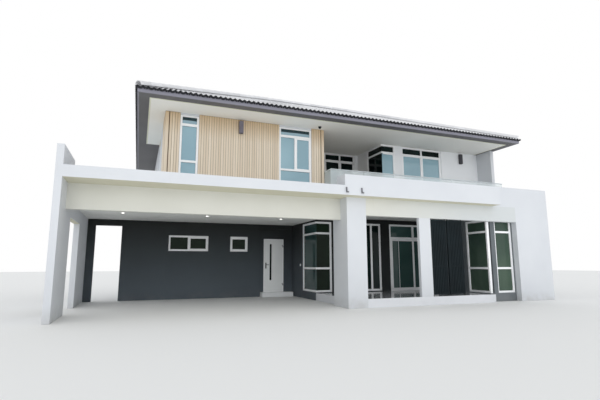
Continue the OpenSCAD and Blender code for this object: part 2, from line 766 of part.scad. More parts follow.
// Glass panels in a floor channel, with a slim rail along the top
rail_h = 40;
rail_d = 50;
shoe_h = 80;
pane_set = 19;
balustrade_x = timber_end_x + balustrade_set;
balustrade_z = upper_z + balustrade_h;
balustrade_end_y = timber_y + 200;
module balustrade() color(glass_blue) {
  return_y = balustrade_y + rail_d + fit_gap;
  for (z = [[upper_z, upper_z + shoe_h], [balustrade_z - rail_h, balustrade_z]]) {
    block(balustrade_x, inner_right, balustrade_y, balustrade_y + rail_d, z[0], z[1]);
    block(balustrade_x, balustrade_x + rail_d, return_y, balustrade_end_y, z[0], z[1]);
  }
  block(balustrade_x, inner_right, balustrade_y + pane_set, balustrade_y + pane_set + glass_t,
    upper_z + shoe_h, balustrade_z - rail_h);
  block(balustrade_x + pane_set, balustrade_x + pane_set + glass_t, return_y, balustrade_end_y,
    upper_z + shoe_h, balustrade_z - rail_h);
}

// A square lamp on a wall, its top in line with the windows' heads
lamp_size = [130, 110, 400];
module lamp(x, y) block(x - lamp_size[0] / 2, x + lamp_size[0] / 2, y - lamp_size[1], y,
  high_head_z - lamp_size[2], high_head_z);

module wall_lamps() color("dimgray") {
  lamp((narrow_window[1] + timber_window[0]) / 2, timber_y);
  lamp(right_x - 1062, porch_back_y);
}

dome_set = 285;
module dome_camera() color("dimgray")
  translate([timber_end_x - dome_set, timber_y - dome_set, eaves_z - 30]) {
    cylinder(r = 55, h = 30, $fn = 32);
    difference() {
      sphere(r = 48, $fn = 32);
      translate([0, 0, 50]) cube(100, center = true);
    }
  }

soffit_t = 40;
fascia_t = 40;
eaves_x = left_x - eaves_left;
eaves_end_x = right_x + eaves_right;
eaves_back = house_d - tile_overhang;
white_soffit_end = back_y - 4875;

module soffit_sheet(x0, y0) block(x0, eaves_end_x - dark_strip, y0, eaves_back - dark_strip,
  eaves_z, eaves_z + soffit_t);

// The pale soffit, which is the ceiling of the rooms upstairs too
module eaves_soffit() color(white) difference() {
  soffit_sheet(eaves_x + dark_strip, eaves_y + dark_strip);
  block(eaves_x, left_x, white_soffit_end, eaves_back, eaves_z - 10, eaves_z + soffit_t + 10);
}

// The dark border along the eaves, wider at the back of the left side
module eaves_border() color([0.33, 0.33, 0.34]) {
  x = [eaves_x + fascia_t, eaves_x + dark_strip, eaves_end_x - dark_strip, eaves_end_x - fascia_t];
  y = [eaves_y + fascia_t, eaves_y + dark_strip, eaves_back - dark_strip, eaves_back - fascia_t];
  top = eaves_z + soffit_t;
  block(x[0], x[3], y[0], y[1], eaves_z, top);
  block(x[0], x[3], y[2], y[3], eaves_z, top);
  block(x[2], x[3], y[1] + fit_gap, y[2] - fit_gap, eaves_z, top);
  block(x[0], x[1], y[1] + fit_gap, white_soffit_end - fit_gap, eaves_z, top);
  block(x[0], left_x, white_soffit_end, y[2] - fit_gap, eaves_z, top);
}

// Four boards, their tops cut to the slope of the covering
module fascia() color([0.62, 0.62, 0.66]) intersection() {
  union() {
    for (y = [eaves_y, eaves_back - fascia_t])
      block(eaves_x, eaves_end_x, y, y + fascia_t, eaves_z, eaves_z + 2 * fascia_h);
    for (x = [eaves_x, eaves_end_x - fascia_t])
      block(x, x + fascia_t, eaves_y + fascia_t + fit_gap, eaves_back - fascia_t - fit_gap,
        eaves_z, eaves_z + 2 * fascia_h);
  }
  hipped(fascia_h, tiles_z);
}

tiles_w = eaves_end_x - eaves_x + 2 * tile_overhang;
tiles_d = eaves_back - eaves_y + 2 * tile_overhang;
tiles_z = eaves_z + fascia_h - tile_overhang * tan(pitch);
rise = tiles_d / 2 * tan(pitch);

// A hipped solid over the whole covering, with upright edges of height e below z
module hipped(e, z) intersection() {
  translate([eaves_x - tile_overhang, eaves_y - tile_overhang, z]) rotate([90, 0, 90])
    linear_extrude(tiles_w)
      polygon([[0, -e], [tiles_d, -e], [tiles_d, 0], [tiles_d / 2, rise], [0, 0]]);
  translate([eaves_x - tile_overhang, eaves_back + tile_overhang, z]) rotate([90, 0, 0])
    linear_extrude(tiles_d)
      polygon([[0, -e], [tiles_w, -e], [tiles_w, 0], [tiles_w - tiles_d / 2, rise],
        [tiles_d / 2, rise], [0, 0]]);
}

// The covering, parted along the ridge and the hips
module roof_tiles() color("lightgray") difference() {
  hipped(tile_t, tiles_z + tile_t);
  hipped(tile_t, tiles_z);
  for (i = [0, 1], j = [0, 1])
    translate([ridge_ends[i], ridge_y, eaves_z]) rotate([0, 0, 45 + 90 * (i == 0 ? 1 + j : 3 * j)])
      translate([-1, -fit_gap, 0]) cube([tiles_d, 2 * fit_gap, 2 * rise]);
  translate([ridge_ends[0], ridge_y - fit_gap, eaves_z])
    cube([ridge_ends[1] - ridge_ends[0], 2 * fit_gap, 2 * rise]);
}

// A round bar between two points
module rod(p, q, r) {
  d = q - p;
  translate(p) rotate([0, acos(d[2] / norm(d)), atan2(d[1], d[0])]) cylinder(r = r, h = norm(d), $fn = 12);
}

ridge_z = tiles_z + tile_t + rise;
ridge_y = (eaves_y + eaves_back) / 2;
ridge_ends = [eaves_x - tile_overhang + tiles_d / 2, eaves_end_x + tile_overhang - tiles_d / 2];
module ridge_caps() color("silver") difference() {
  union() {
    rod([ridge_ends[0], ridge_y, ridge_z], [ridge_ends[1], ridge_y, ridge_z], cap_r);
    for (i = [0, 1], y = [eaves_y - tile_overhang, eaves_back + tile_overhang]) {
      corner = [[eaves_x - tile_overhang, eaves_end_x + tile_overhang][i], y, tiles_z + tile_t];
      top = [ridge_ends[i], ridge_y, ridge_z];
      rod(corner + 0.04 * (top - corner), top, cap_r);
    }
  }
  hipped(3 * cap_r, tiles_z + tile_t);
}

at_origin() carport_fin_wall();
at_origin() carport_side_wall();
at_origin() carport_front_beam();
at_origin() carport_ceiling();
at_origin() carport_downlights();
at_origin() carport_band();
at_origin() balcony_parapet();
at_origin() overflow_spouts();
at_origin() archway_wall();
at_origin() carport_back_wall();
at_origin() side_door_wall();
at_origin() side_door_step();
at_origin() side_door_frame();
at_origin() side_door_leaf();
at_origin() side_door_handle();
at_origin() main_pillar();
at_origin() porch_column();
at_origin() porch_beam();
at_origin() porch_floor();
at_origin() porch_ceiling();
at_origin() bay_side_wall();
at_origin() porch_back_wall();
at_origin() sliding_door_frame();
at_origin() sliding_door_leaf();
at_origin() sliding_door_glass();
at_origin() wing_walls();
at_origin() wing_facade_wall();
at_origin() wing_parapet();
at_origin() shutter_panels();
at_origin() left_wall();
at_origin() right_wall();
at_origin() back_wall();
at_origin() ground_floor();
at_origin() first_floor();
at_origin() balcony_floor();
at_origin() upper_front_wall();
at_origin() balcony_walls();
at_origin() timber_cladding();
at_origin() ground_window_frames();
at_origin() upper_window_frames();
at_origin() ground_glass();
at_origin() upper_glass();
at_origin() balustrade();
at_origin() wall_lamps();
at_origin() dome_camera();
at_origin() eaves_soffit();
at_origin() eaves_border();
at_origin() fascia();
at_origin() roof_tiles();
at_origin() ridge_caps();
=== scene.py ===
import math
import random

import bmesh
import bpy
from mathutils import Matrix, Vector


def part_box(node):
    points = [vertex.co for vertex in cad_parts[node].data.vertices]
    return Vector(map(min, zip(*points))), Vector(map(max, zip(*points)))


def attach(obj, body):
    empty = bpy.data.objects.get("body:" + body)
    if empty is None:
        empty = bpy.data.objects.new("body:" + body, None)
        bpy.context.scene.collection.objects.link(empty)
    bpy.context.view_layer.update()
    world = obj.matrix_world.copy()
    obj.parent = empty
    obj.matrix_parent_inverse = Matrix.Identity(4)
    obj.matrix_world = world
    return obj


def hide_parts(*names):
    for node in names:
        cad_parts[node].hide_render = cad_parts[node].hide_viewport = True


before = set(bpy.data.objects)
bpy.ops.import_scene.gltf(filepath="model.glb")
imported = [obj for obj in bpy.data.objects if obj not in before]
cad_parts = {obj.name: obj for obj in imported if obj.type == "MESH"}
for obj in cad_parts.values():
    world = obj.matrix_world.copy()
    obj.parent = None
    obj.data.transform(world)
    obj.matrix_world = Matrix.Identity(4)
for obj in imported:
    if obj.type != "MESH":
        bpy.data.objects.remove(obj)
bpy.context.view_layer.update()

# Small helpers


def toLinear(red, green, blue):
    shades = [value / 255 for value in (red, green, blue)]
    return (*[s / 12.92 if s <= 0.04045 else ((s + 0.055) / 1.055) ** 2.4 for s in shades], 1.0)


def deselect():
    bpy.ops.object.select_all(action="DESELECT")


def activate(piece):
    deselect()
    piece.select_set(True)
    bpy.context.view_layer.objects.active = piece


def applyPlace(piece):
    activate(piece)
    bpy.ops.object.transform_apply(location=True, rotation=True, scale=True)
    return piece


def namePiece(name):
    piece = bpy.context.object
    piece.name = name
    piece.data.name = name
    return piece


def settle(name, stretch=(1, 1, 1)):
    # names a new primitive and puts its place in its mesh, stretched for a plane or a grid
    piece = namePiece(name)
    piece.scale = [a * b for a, b in zip(piece.scale, stretch)]
    return applyPlace(piece)


def block(low, high, name="block"):
    # a box between two corners
    deselect()
    centre = [(a + b) / 2 for a, b in zip(low, high)]
    size = [b - a for a, b in zip(low, high)]
    bpy.ops.mesh.primitive_cube_add(size=1, location=centre, scale=size)
    return settle(name)


def tube(start, end, radius, sides=24):
    # a round bar between two points
    deselect()
    start, end = Vector(start), Vector(end)
    turn = (end - start).to_track_quat("Z", "Y").to_euler()
    bpy.ops.mesh.primitive_cylinder_add(vertices=sides, radius=radius, depth=(end - start).length,
                                        location=(start + end) / 2, rotation=turn)
    return settle("tube")


def ball(middle, radius, segments, rings):
    deselect()
    bpy.ops.mesh.primitive_uv_sphere_add(segments=segments, ring_count=rings, radius=radius,
                                         location=middle)
    return settle("ball")


def openEdit(piece, kind="FACE"):
    activate(piece)
    bpy.ops.object.mode_set(mode="EDIT")
    bpy.ops.mesh.select_mode(type=kind)
    selectAll()


def closeEdit():
    bpy.ops.object.mode_set(mode="OBJECT")


def selectAll():
    bpy.ops.mesh.select_all(action="SELECT")


def turnOut():
    # in edit mode, points every face outwards
    selectAll()
    bpy.ops.mesh.normals_make_consistent(inside=False)


def pickFaces(piece, test):
    # in edit mode, selects the faces whose centre and normal pass a test
    mesh = bmesh.from_edit_mesh(piece.data)
    for face in mesh.faces:
        face.select_set(bool(test(face.calc_center_median(), face.normal)))
    mesh.select_flush_mode()
    bmesh.update_edit_mesh(piece.data)


def pickPoints(piece, test):
    mesh = bmesh.from_edit_mesh(piece.data)
    for point in mesh.verts:
        point.select_set(bool(test(point.co)))
    mesh.select_flush_mode()
    bmesh.update_edit_mesh(piece.data)


def cutAt(place, direction, inner=False, outer=False, fill=False):
    selectAll()
    bpy.ops.mesh.bisect(plane_co=place, plane_no=direction, clear_inner=inner, clear_outer=outer,
                        use_fill=fill, threshold=0.00001)


def extrudeBy(step):
    bpy.ops.mesh.extrude_region_move(TRANSFORM_OT_translate={"value": step})


def applyModifier(piece, kind, **settings):
    activate(piece)
    modifier = piece.modifiers.new(kind.title(), kind)
    for key, value in settings.items():
        setattr(modifier, key, value)
    bpy.ops.object.modifier_apply(modifier=modifier.name)
    return piece


def roundEdges(piece, width, segments=2):
    return applyModifier(piece, "BEVEL", width=width, segments=segments, limit_method="ANGLE",
                         angle_limit=math.radians(40), harden_normals=False)


def smooth(piece):
    activate(piece)
    bpy.ops.object.shade_smooth_by_angle(angle=math.radians(40))
    return piece


def repeatPiece(piece, count, step):
    return applyModifier(piece, "ARRAY", count=count, use_relative_offset=False,
                         use_constant_offset=True, constant_offset_displace=step)


def joinPieces(name, pieces):
    deselect()
    for piece in pieces:
        piece.select_set(True)
    bpy.context.view_layer.objects.active = pieces[0]
    if len(pieces) > 1:
        bpy.ops.object.join()
    return namePiece(name)


def addPiece(piece, body, slot, *nodes):
    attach(piece, body)
    if nodes:
        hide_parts(*nodes)
    return piece


def solidsOf(node):
    # the corners of each separate solid of a CAD node
    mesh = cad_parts[node].data
    home = {}
    keys = [tuple(round(c, 4) for c in v.co) for v in mesh.vertices]

    def root(key):
        while home.setdefault(key, key) != key:
            key = home[key]
        return key

    for polygon in mesh.polygons:
        first = root(keys[polygon.vertices[0]])
        for index in polygon.vertices[1:]:
            home[root(keys[index])] = first
    groups = {}
    for key in set(keys):
        groups.setdefault(root(key), []).append(key)
    boxes = []
    for points in groups.values():
        boxes.append((Vector([min(p[i] for p in points) for i in range(3)]),
                      Vector([max(p[i] for p in points) for i in range(3)])))
    return sorted(boxes, key=lambda b: (round(b[0].x, 3), round(b[0].y, 3), round(b[0].z, 3)))


def frontOf(low, high):
    # a box seen from the front, as its start, end, foot and head
    return (low.x, high.x, low.z, high.z)


# Materials


def startMaterial(name, roughness, metallic=0.0):
    material = bpy.data.materials.new(name)
    material.use_nodes = True
    shader = material.node_tree.nodes["Principled BSDF"]
    shader.inputs["Roughness"].default_value = roughness
    shader.inputs["Metallic"].default_value = metallic
    return material, material.node_tree, shader


def addNode(tree, kind, values=None, links=None, **settings):
    node = tree.nodes.new("ShaderNode" + kind)
    for key, value in settings.items():
        setattr(node, key, value)
    for key, value in (values or {}).items():
        node.inputs[key].default_value = value
    for key, output in (links or {}).items():
        tree.links.new(output, node.inputs[key])
    return node


def setInputs(tree, node, inputs):
    # each input takes a link or a plain value
    for index, value in inputs.items():
        if isinstance(value, bpy.types.NodeSocket):
            tree.links.new(value, node.inputs[index])
        else:
            node.inputs[index].default_value = value


def objectPlace(tree, scale=(1, 1, 1)):
    place = addNode(tree, "TexCoord").outputs["Object"]
    return addNode(tree, "Mapping", {"Scale": scale}, {"Vector": place}).outputs["Vector"]


def placeAlong(tree, axis):
    place = addNode(tree, "TexCoord").outputs["Object"]
    return addNode(tree, "SeparateXYZ", links={"Vector": place}).outputs[axis]


def noiseOf(tree, scale, detail=4.0, roughness=0.55, stretch=(1, 1, 1)):
    return addNode(tree, "TexNoise", {"Scale": scale, "Detail": detail, "Roughness": roughness},
                   {"Vector": objectPlace(tree, stretch)}).outputs["Fac"]


def rampOf(tree, factor, *stops):
    ramp = addNode(tree, "ValToRGB", links={"Fac": factor})
    elements = ramp.color_ramp.elements
    while len(elements) < len(stops):
        elements.new(0.5)
    for element, (place, colour) in zip(elements, stops):
        element.position = place
        element.color = colour
    return ramp.outputs["Color"]


def mixOf(tree, factor, first, second, blend="MIX"):
    node = addNode(tree, "Mix", data_type="RGBA", blend_type=blend)
    setInputs(tree, node, {0: factor, 6: first, 7: second})
    return node.outputs[2]


def mathOf(tree, operation, first, second):
    node = addNode(tree, "Math", operation=operation)
    setInputs(tree, node, {0: first, 1: second})
    return node.outputs[0]


def rangeOf(tree, value, low, high, start=0.0, end=1.0):
    return addNode(tree, "MapRange", {"From Min": low, "From Max": high, "To Min": start, "To Max": end},
                   {"Value": value}).outputs["Result"]


def addBump(tree, shader, height, distance, strength):
    bump = addNode(tree, "Bump", {"Distance": distance, "Strength": strength}, {"Height": height})
    before = shader.inputs["Normal"].links
    if before:
        tree.links.new(before[0].from_socket, bump.inputs["Normal"])
    tree.links.new(bump.outputs["Normal"], shader.inputs["Normal"])


def facing(tree, limit):
    # 1 on the faces that look up past a limit, or down past a negative one
    normal = addNode(tree, "NewGeometry").outputs["Normal"]
    height = addNode(tree, "SeparateXYZ", links={"Vector": normal}).outputs["Z"]
    return mathOf(tree, "GREATER_THAN" if limit > 0 else "LESS_THAN", height, limit)


def renderPaint(name, light, shade, stain, roughness=0.75, stainHeight=0.35, under=None, paintedLightAlongX=None,
                upper=None):
    # painted render: faint clouding, rain streaks, splashed dirt near the ground, a sandy bump
    material, tree, shader = startMaterial(name, roughness)
    light, shade, stain = [toLinear(*colour) for colour in (light, shade, stain)]
    clouds = rampOf(tree, noiseOf(tree, 0.7, 5), (0.3, shade), (0.7, light))
    streaks = rangeOf(tree, noiseOf(tree, 1.0, 6, 0.6, (5, 5, 0.35)), 0.62, 0.85, 0.0, 0.16)
    streaked = mixOf(tree, streaks, clouds, stain)
    splash = rangeOf(tree, placeAlong(tree, "Z"), 0.0, stainHeight, 1.0, 0.0)
    patch = rangeOf(tree, noiseOf(tree, 3.5, 6), 0.35, 0.75, 0.0, 0.55)
    painted = mixOf(tree, mathOf(tree, "MULTIPLY", splash, patch), streaked, stain)
    # painted light and shade: an optional tint that changes along x, and an optional darker colour towards
    # the top, where shade falls
    for axis, change in (("X", paintedLightAlongX), ("Z", upper)):
        if change:
            colour, start, end = change
            share = rangeOf(tree, placeAlong(tree, axis), start, end)
            painted = mixOf(tree, share, painted, toLinear(*colour))
    # painted reflection: downward faces take a warm tint that stands for light bounced up from the ground
    if under:
        painted = mixOf(tree, facing(tree, -0.5), painted, toLinear(*under))
    tree.links.new(painted, shader.inputs["Base Color"])
    addBump(tree, shader, noiseOf(tree, 9.0, 3), 0.0015, 0.5)
    addBump(tree, shader, noiseOf(tree, 260.0, 3), 0.0006, 0.6)
    return material


def plainCoat(name, colour, tone, roughness, metallic=0.0):
    # a factory coat: a slight change of tone and an orange-peel bump
    material, tree, shader = startMaterial(name, roughness, metallic)
    tree.links.new(rampOf(tree, noiseOf(tree, 1.6, 4), (0.3, toLinear(*tone)), (0.7, toLinear(*colour))),
                   shader.inputs["Base Color"])
    addBump(tree, shader, noiseOf(tree, 400.0, 2), 0.0002, 0.35)
    return material


def glassPane(name, colour, deep, reflect, level=None):
    # tinted glass with a painted reflection in its colour: a slow change of tone, or the dark eaves painted
    # above a level and the sky below
    material, tree, shader = startMaterial(name, 0.04)
    colour, deep = toLinear(*colour), toLinear(*deep)
    if level is None:
        tint = rampOf(tree, noiseOf(tree, 0.55, 2, 0.4), (0.35, deep), (0.65, colour))
    else:
        waves = mathOf(tree, "MULTIPLY", noiseOf(tree, 3.0, 2), 0.02)
        height = mathOf(tree, "ADD", placeAlong(tree, "Z"), waves)
        tint = rampOf(tree, rangeOf(tree, height, level, level + 0.02), (0.0, colour), (1.0, deep))
    tree.links.new(tint, shader.inputs["Base Color"])
    shader.inputs["IOR"].default_value = reflect
    addBump(tree, shader, noiseOf(tree, 1.8, 1), 0.004, 0.12)
    return material


def tiledFloor(name, colour, tone, joint, riser, roughness, size=0.6):
    # square tiles with narrow joints and a slight change from tile to tile, and painted risers
    material, tree, shader = startMaterial(name, roughness)
    brick = addNode(tree, "TexBrick", {
        "Color1": toLinear(*colour), "Color2": toLinear(*tone), "Mortar": toLinear(*joint),
        "Scale": 1.0, "Mortar Size": 0.0025, "Mortar Smooth": 0.1, "Brick Width": size,
        "Row Height": size}, {"Vector": objectPlace(tree)}, offset=0.0)
    clouds = rangeOf(tree, noiseOf(tree, 5.0, 6), 0.3, 0.7, 0.88, 1.0)
    grey = addNode(tree, "CombineColor", links={"Red": clouds, "Green": clouds, "Blue": clouds})
    tiled = mixOf(tree, 1.0, brick.outputs["Color"], grey.outputs["Color"], "MULTIPLY")
    addBump(tree, shader, brick.outputs["Fac"], -0.002, 0.6)
    up = facing(tree, 0.5)
    riser = toLinear(*riser)
    dusty = [0.86 * value for value in riser[:3]] + [1.0]
    painted = rampOf(tree, noiseOf(tree, 1.2, 6), (0.4, riser), (0.9, dusty))
    tree.links.new(mixOf(tree, up, painted, tiled), shader.inputs["Base Color"])
    tree.links.new(rangeOf(tree, up, 0.0, 1.0, 0.7, roughness), shader.inputs["Roughness"])
    return material


def timberStain(name, shade):
    # pale stained boards: each board has its own tone, with a long grain, and painted shade that makes them
    # darker and warmer under the eaves
    material, tree, shader = startMaterial(name, 0.62)
    tone = addNode(tree, "Attribute", attribute_name="tone").outputs["Fac"]
    stains = ((216, 202, 182), (223, 210, 191), (230, 218, 200), (192, 172, 145), (196, 166, 122))
    dark, middle, pale, line, warm = [toLinear(*[shade * value for value in rgb]) for rgb in stains]
    board = rampOf(tree, tone, (0.0, dark), (0.5, middle), (1.0, pale))
    grain = noiseOf(tree, 1.0, 8, 0.7, (70, 70, 1.4))
    grained = mixOf(tree, rangeOf(tree, grain, 0.4, 0.8, 0.0, 0.4), board, line)
    # painted shade: the boards grow darker and warmer towards the eaves
    eavesShade = rangeOf(tree, placeAlong(tree, "Z"), 5.1, 5.85, 0.0, 0.75)
    tree.links.new(mixOf(tree, eavesShade, grained, warm), shader.inputs["Base Color"])
    addBump(tree, shader, grain, 0.0008, 0.5)
    return material


def tileClay(name):
    # pale concrete tiles: a tone for each tile, weather marks and a sandy face
    material, tree, shader = startMaterial(name, 0.78)
    tone = addNode(tree, "Attribute", attribute_name="tone").outputs["Fac"]
    each = rampOf(tree, tone, (0.0, toLinear(216, 216, 218)), (1.0, toLinear(234, 234, 236)))
    marks = rangeOf(tree, noiseOf(tree, 2.2, 7), 0.45, 0.8, 0.0, 0.3)
    tree.links.new(mixOf(tree, marks, each, toLinear(168, 168, 172)), shader.inputs["Base Color"])
    addBump(tree, shader, noiseOf(tree, 150.0, 3), 0.0008, 0.5)
    return material


finish = {
    # painted reflection: the undersides' warm tint stands for light bounced up from the ground
    "white": renderPaint("white_render", (215, 218, 222), (209, 212, 217), (168, 166, 160),
                         under=(206, 203, 182)),
    # painted reflection: the beams' cream tint stands for warm light bounced up from the ground, changing
    # along x to a cooler white
    "beamBounceWhite": renderPaint("white_render_beam_painted_bounce", (216, 216, 209), (210, 210, 202), (174, 170, 156),
                             paintedLightAlongX=((205, 209, 210), 0.3, 4.0)),
    # painted light: a lighter white than the wall render, set to make up for the shade under the carport
    # and porch ceilings
    "ceiling": renderPaint("ceiling_white_painted_light", (246, 247, 244), (240, 241, 237), (190, 190, 188)),
    # painted light: a lighter copy of the white render for the shaded balcony walls
    "balconyLitWhite": renderPaint("balcony_render_painted_light", (246, 248, 250), (240, 242, 245), (190, 190, 186)),
    # painted shade: the charcoal walls grow darker towards the top, where the canopy above shades them
    "charcoal": renderPaint("charcoal_render", (79, 88, 95), (73, 81, 88), (100, 104, 108), 0.7,
                            upper=((26, 30, 29), 0.4, 2.7)),
    # painted shade: a darker copy of the charcoal render for the porch's back wall, darker still towards
    # the top
    "porchShadedCharcoal": renderPaint("porch_render_painted_shade", (38, 42, 45), (32, 36, 39), (56, 59, 61), 0.7,
                             upper=((14, 18, 18), 0.8, 2.4)),
    # painted light: a lighter copy of the charcoal render for the wing walls, which stand in daylight
    "wing": renderPaint("wing_render_painted_light", (112, 118, 122), (96, 102, 106), (130, 130, 128), 0.65),
    "darkBoard": renderPaint("dark_soffit_board", (104, 104, 106), (94, 94, 97), (84, 84, 85), 0.7, 0.01),
    "paleBoard": renderPaint("soffit_board", (244, 244, 240), (238, 238, 233), (205, 203, 196), 0.7, 0.01),
    "trim": renderPaint("edge_strip", (228, 229, 210), (218, 219, 199), (190, 188, 170), 0.7, 0.01),
    "frameWhite": plainCoat("white_powder_coat", (253, 254, 255), (249, 250, 252), 0.4),
    "railPaint": plainCoat("rail_powder_coat", (226, 234, 236), (216, 225, 228), 0.35),
    "doorGrey": plainCoat("door_powder_coat", (240, 242, 242), (233, 236, 236), 0.45),
    "handleGrey": plainCoat("dark_handle_metal", (74, 74, 78), (58, 58, 62), 0.35, 0.6),
    "steel": plainCoat("brushed_steel", (150, 150, 152), (120, 121, 124), 0.3, 0.85),
    "grey": plainCoat("grey_powder_coat", (112, 112, 118), (98, 98, 104), 0.45),
    "darkGrey": plainCoat("dark_powder_coat", (62, 62, 68), (50, 50, 55), 0.45),
    "lampGrey": plainCoat("lamp_coat", (118, 114, 126), (104, 101, 112), 0.4),
    "black": plainCoat("black_rubber", (22, 23, 24), (14, 15, 16), 0.7),
    "shutter": plainCoat("shutter_paint", (20, 31, 35), (14, 23, 27), 0.65),
    "fascia": plainCoat("fascia_paint", (136, 135, 147), (128, 128, 139), 0.5),
    "lens": plainCoat("frosted_lens", (240, 240, 236), (232, 232, 226), 0.5),
    "litLens": plainCoat("lit_lens", (250, 250, 246), (244, 244, 238), 0.5),
    # painted shade: dark strips in the joints beside the corner posts stand for the shade in the gaps
    "timberJointShade": plainCoat("timber_joint_painted_shade", (96, 74, 58), (80, 60, 46), 0.8),
    # painted shade: the dark colour of the tile undersides, the first course's front rims and the eaves
    # closure strip
    "tileShade": plainCoat("tile_underside_painted_shade", (42, 43, 48), (30, 31, 35), 0.8),
    "porchTile": tiledFloor("porch_tile", (164, 166, 170), (152, 154, 158), (122, 122, 124),
                            (222, 224, 228), 0.1),
    "step": tiledFloor("step_tile", (206, 208, 210), (200, 202, 204), (172, 172, 172),
                       (222, 224, 226), 0.35),
    "roomTile": tiledFloor("room_tile", (196, 192, 186), (186, 182, 176), (140, 138, 134),
                           (215, 218, 222), 0.35),
    "timber": timberStain("timber_boards", 1.04),
    # painted shade: a darker copy of the board stain for the backing in the grooves and the gap under the
    # soffit
    "timberGrooveShade": timberStain("timber_groove_painted_shade", 0.84),
    "roofTile": tileClay("roof_tile"),
    # the pane colours below are painted reflections of sky, eaves, shade, the door and greenery, on a glass
    # tint
    "paleGlass": glassPane("pale_glass", (158, 192, 204), (140, 174, 188), 1.6),
    "splitGlass": glassPane("split_glass", (158, 186, 200), (34, 56, 62), 1.5, level=5.60),
    "deepGlass": glassPane("deep_glass", (60, 86, 84), (38, 60, 60), 1.35),
    "seaGlass": glassPane("sea_glass", (62, 88, 84), (44, 68, 66), 1.35),
    "leafGlass": glassPane("leaf_glass", (80, 98, 84), (52, 70, 62), 1.3),
    "greenGlass": glassPane("green_glass", (32, 46, 34), (14, 23, 18), 1.2),
    "blackGlass": glassPane("black_glass", (22, 38, 36), (10, 17, 18), 1.25),
    "railGlass": glassPane("rail_glass", (246, 253, 255), (240, 250, 253), 1.5),
}
for key, socket, value in (("railGlass", "Alpha", 0.42), ("shutter", "IOR", 1.3),
                           ("litLens", "Emission Strength", 4.0),
                           ("litLens", "Emission Color", toLinear(255, 253, 246))):
    finish[key].node_tree.nodes["Principled BSDF"].inputs[socket].default_value = value
print("materials ready")


def paint(piece, key):
    piece.data.materials.clear()
    piece.data.materials.append(finish[key])
    return piece


def paintAll(pieces, key):
    return [paint(piece, key) for piece in pieces]


carriedOver = {
    "white": ["carport_fin_wall", "carport_side_wall", "carport_band", "balcony_parapet", "main_pillar",
              "porch_column", "wing_facade_wall", "wing_parapet", "left_wall", "right_wall", "back_wall",
              "upper_front_wall"],
    "balconyLitWhite": ["balcony_walls"],
    "beamBounceWhite": ["carport_front_beam", "porch_beam"],
    "ceiling": ["carport_ceiling", "porch_ceiling"],
    "charcoal": ["archway_wall", "carport_back_wall", "side_door_wall", "bay_side_wall"],
    "porchShadedCharcoal": ["porch_back_wall"],
    "wing": ["wing_walls"],
    "porchTile": ["porch_floor"],
    "step": ["side_door_step"],
    "roomTile": ["ground_floor", "first_floor", "balcony_floor"],
    "fascia": ["fascia"],
    "darkBoard": ["eaves_border"],
    "paleBoard": ["eaves_soffit"],
    "frameWhite": ["side_door_frame", "sliding_door_frame", "sliding_door_leaf"],
    "doorGrey": ["side_door_leaf"],
    "steel": ["side_door_handle"],
    "deepGlass": ["sliding_door_glass"],
}
for key, names in carriedOver.items():
    for name in names:
        paint(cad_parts[name], key)
print("CAD pieces painted")

# Windows

windowLook = {
    "edge": 0.003, "glassEdge": 0.0015, "beadLap": 0.0005, "beadWidth": 0.005, "beadFront": 0.018,
    "gasketWidth": 0.003, "gasketProud": 0.004, "sashSide": 0.03, "sashTop": 0.04, "sashProud": -0.004,
    "sideEnds": 6.5, "frontEnds": 4.5,                 # where the windows that face the other way begin
    "cornerNear": 0.055, "cornerLap": 0.01,            # glass that meets glass at a corner
    "streetY": -3, "eavesZ": 5.49, "headZ": 5.3,       # the timber wall's lights under the eaves
    "topRise": 0.025, "topDrop": 0.04, "transomDrop": 0.055,
}


def plate(sideways, front, back, outer, holes, edge=0.0):
    # a flat frame in a wall: outer and holes are (start, end, foot, head), sideways runs along y
    start, end, foot, head = outer
    middle = [(start + end) / 2, front, (foot + head) / 2]
    along, depth = Vector((1, 0, 0)), Vector((0, back - front, 0))
    if sideways:
        middle[:2] = reversed(middle[:2])
        along, depth = along.yxz, depth.yxz
    deselect()
    bpy.ops.mesh.primitive_plane_add(size=1, location=middle,
                                     rotation=(math.pi / 2, 0, math.pi / 2 if sideways else 0))
    piece = settle("plate", (end - start, head - foot, 1))
    openEdit(piece)
    for cut in sorted({round(c, 5) for hole in holes for c in hole[:2] if start < c < end}):
        cutAt(cut * along, along)
    for cut in sorted({round(c, 5) for hole in holes for c in hole[2:] if foot < c < head}):
        cutAt((0, 0, cut), (0, 0, 1))
    pickFaces(piece, lambda c, n: any(
        h[0] < c.dot(along) < h[1] and h[2] < c.z < h[3] for h in holes))
    bpy.ops.mesh.delete(type="FACE")
    selectAll()
    extrudeBy(depth)
    turnOut()
    closeEdit()
    return roundEdges(piece, edge) if edge else piece


def inside(box, other, margin=0.07):
    centre = (other[0] + other[1]) / 2
    return all(box[0][i] - margin < centre[i] < box[1][i] + margin for i in range(3))


def shrunk(light, inset, span, top=None):
    # a light less a margin, but not at an open corner, where it runs past its frame
    start = light[0] + (inset if light[0] > span[0] else 0)
    end = light[1] - (inset if light[1] < span[1] else 0)
    return (start, end, light[2] + inset, light[3] - (inset if top is None else top))


def clipped(light, span):
    return (max(light[0], span[0]), min(light[1], span[1]), light[2], light[3])


def lightOf(pane, along, span):
    # the hole for a pane: the lights under the eaves are taller, with a lower transom
    look = windowLook
    low, high = pane
    start, foot, head = low[along], low.z, high.z
    if low.y < look["streetY"] and foot > look["eavesZ"]:
        foot, head = foot - look["topDrop"], head + look["topRise"]
    elif low.y < look["streetY"] and look["headZ"] < head < look["eavesZ"]:
        head -= look["transomDrop"]
    if start - span[0] < look["cornerNear"]:
        start = span[0] - look["cornerLap"]
    return (start, high[along], foot, head)


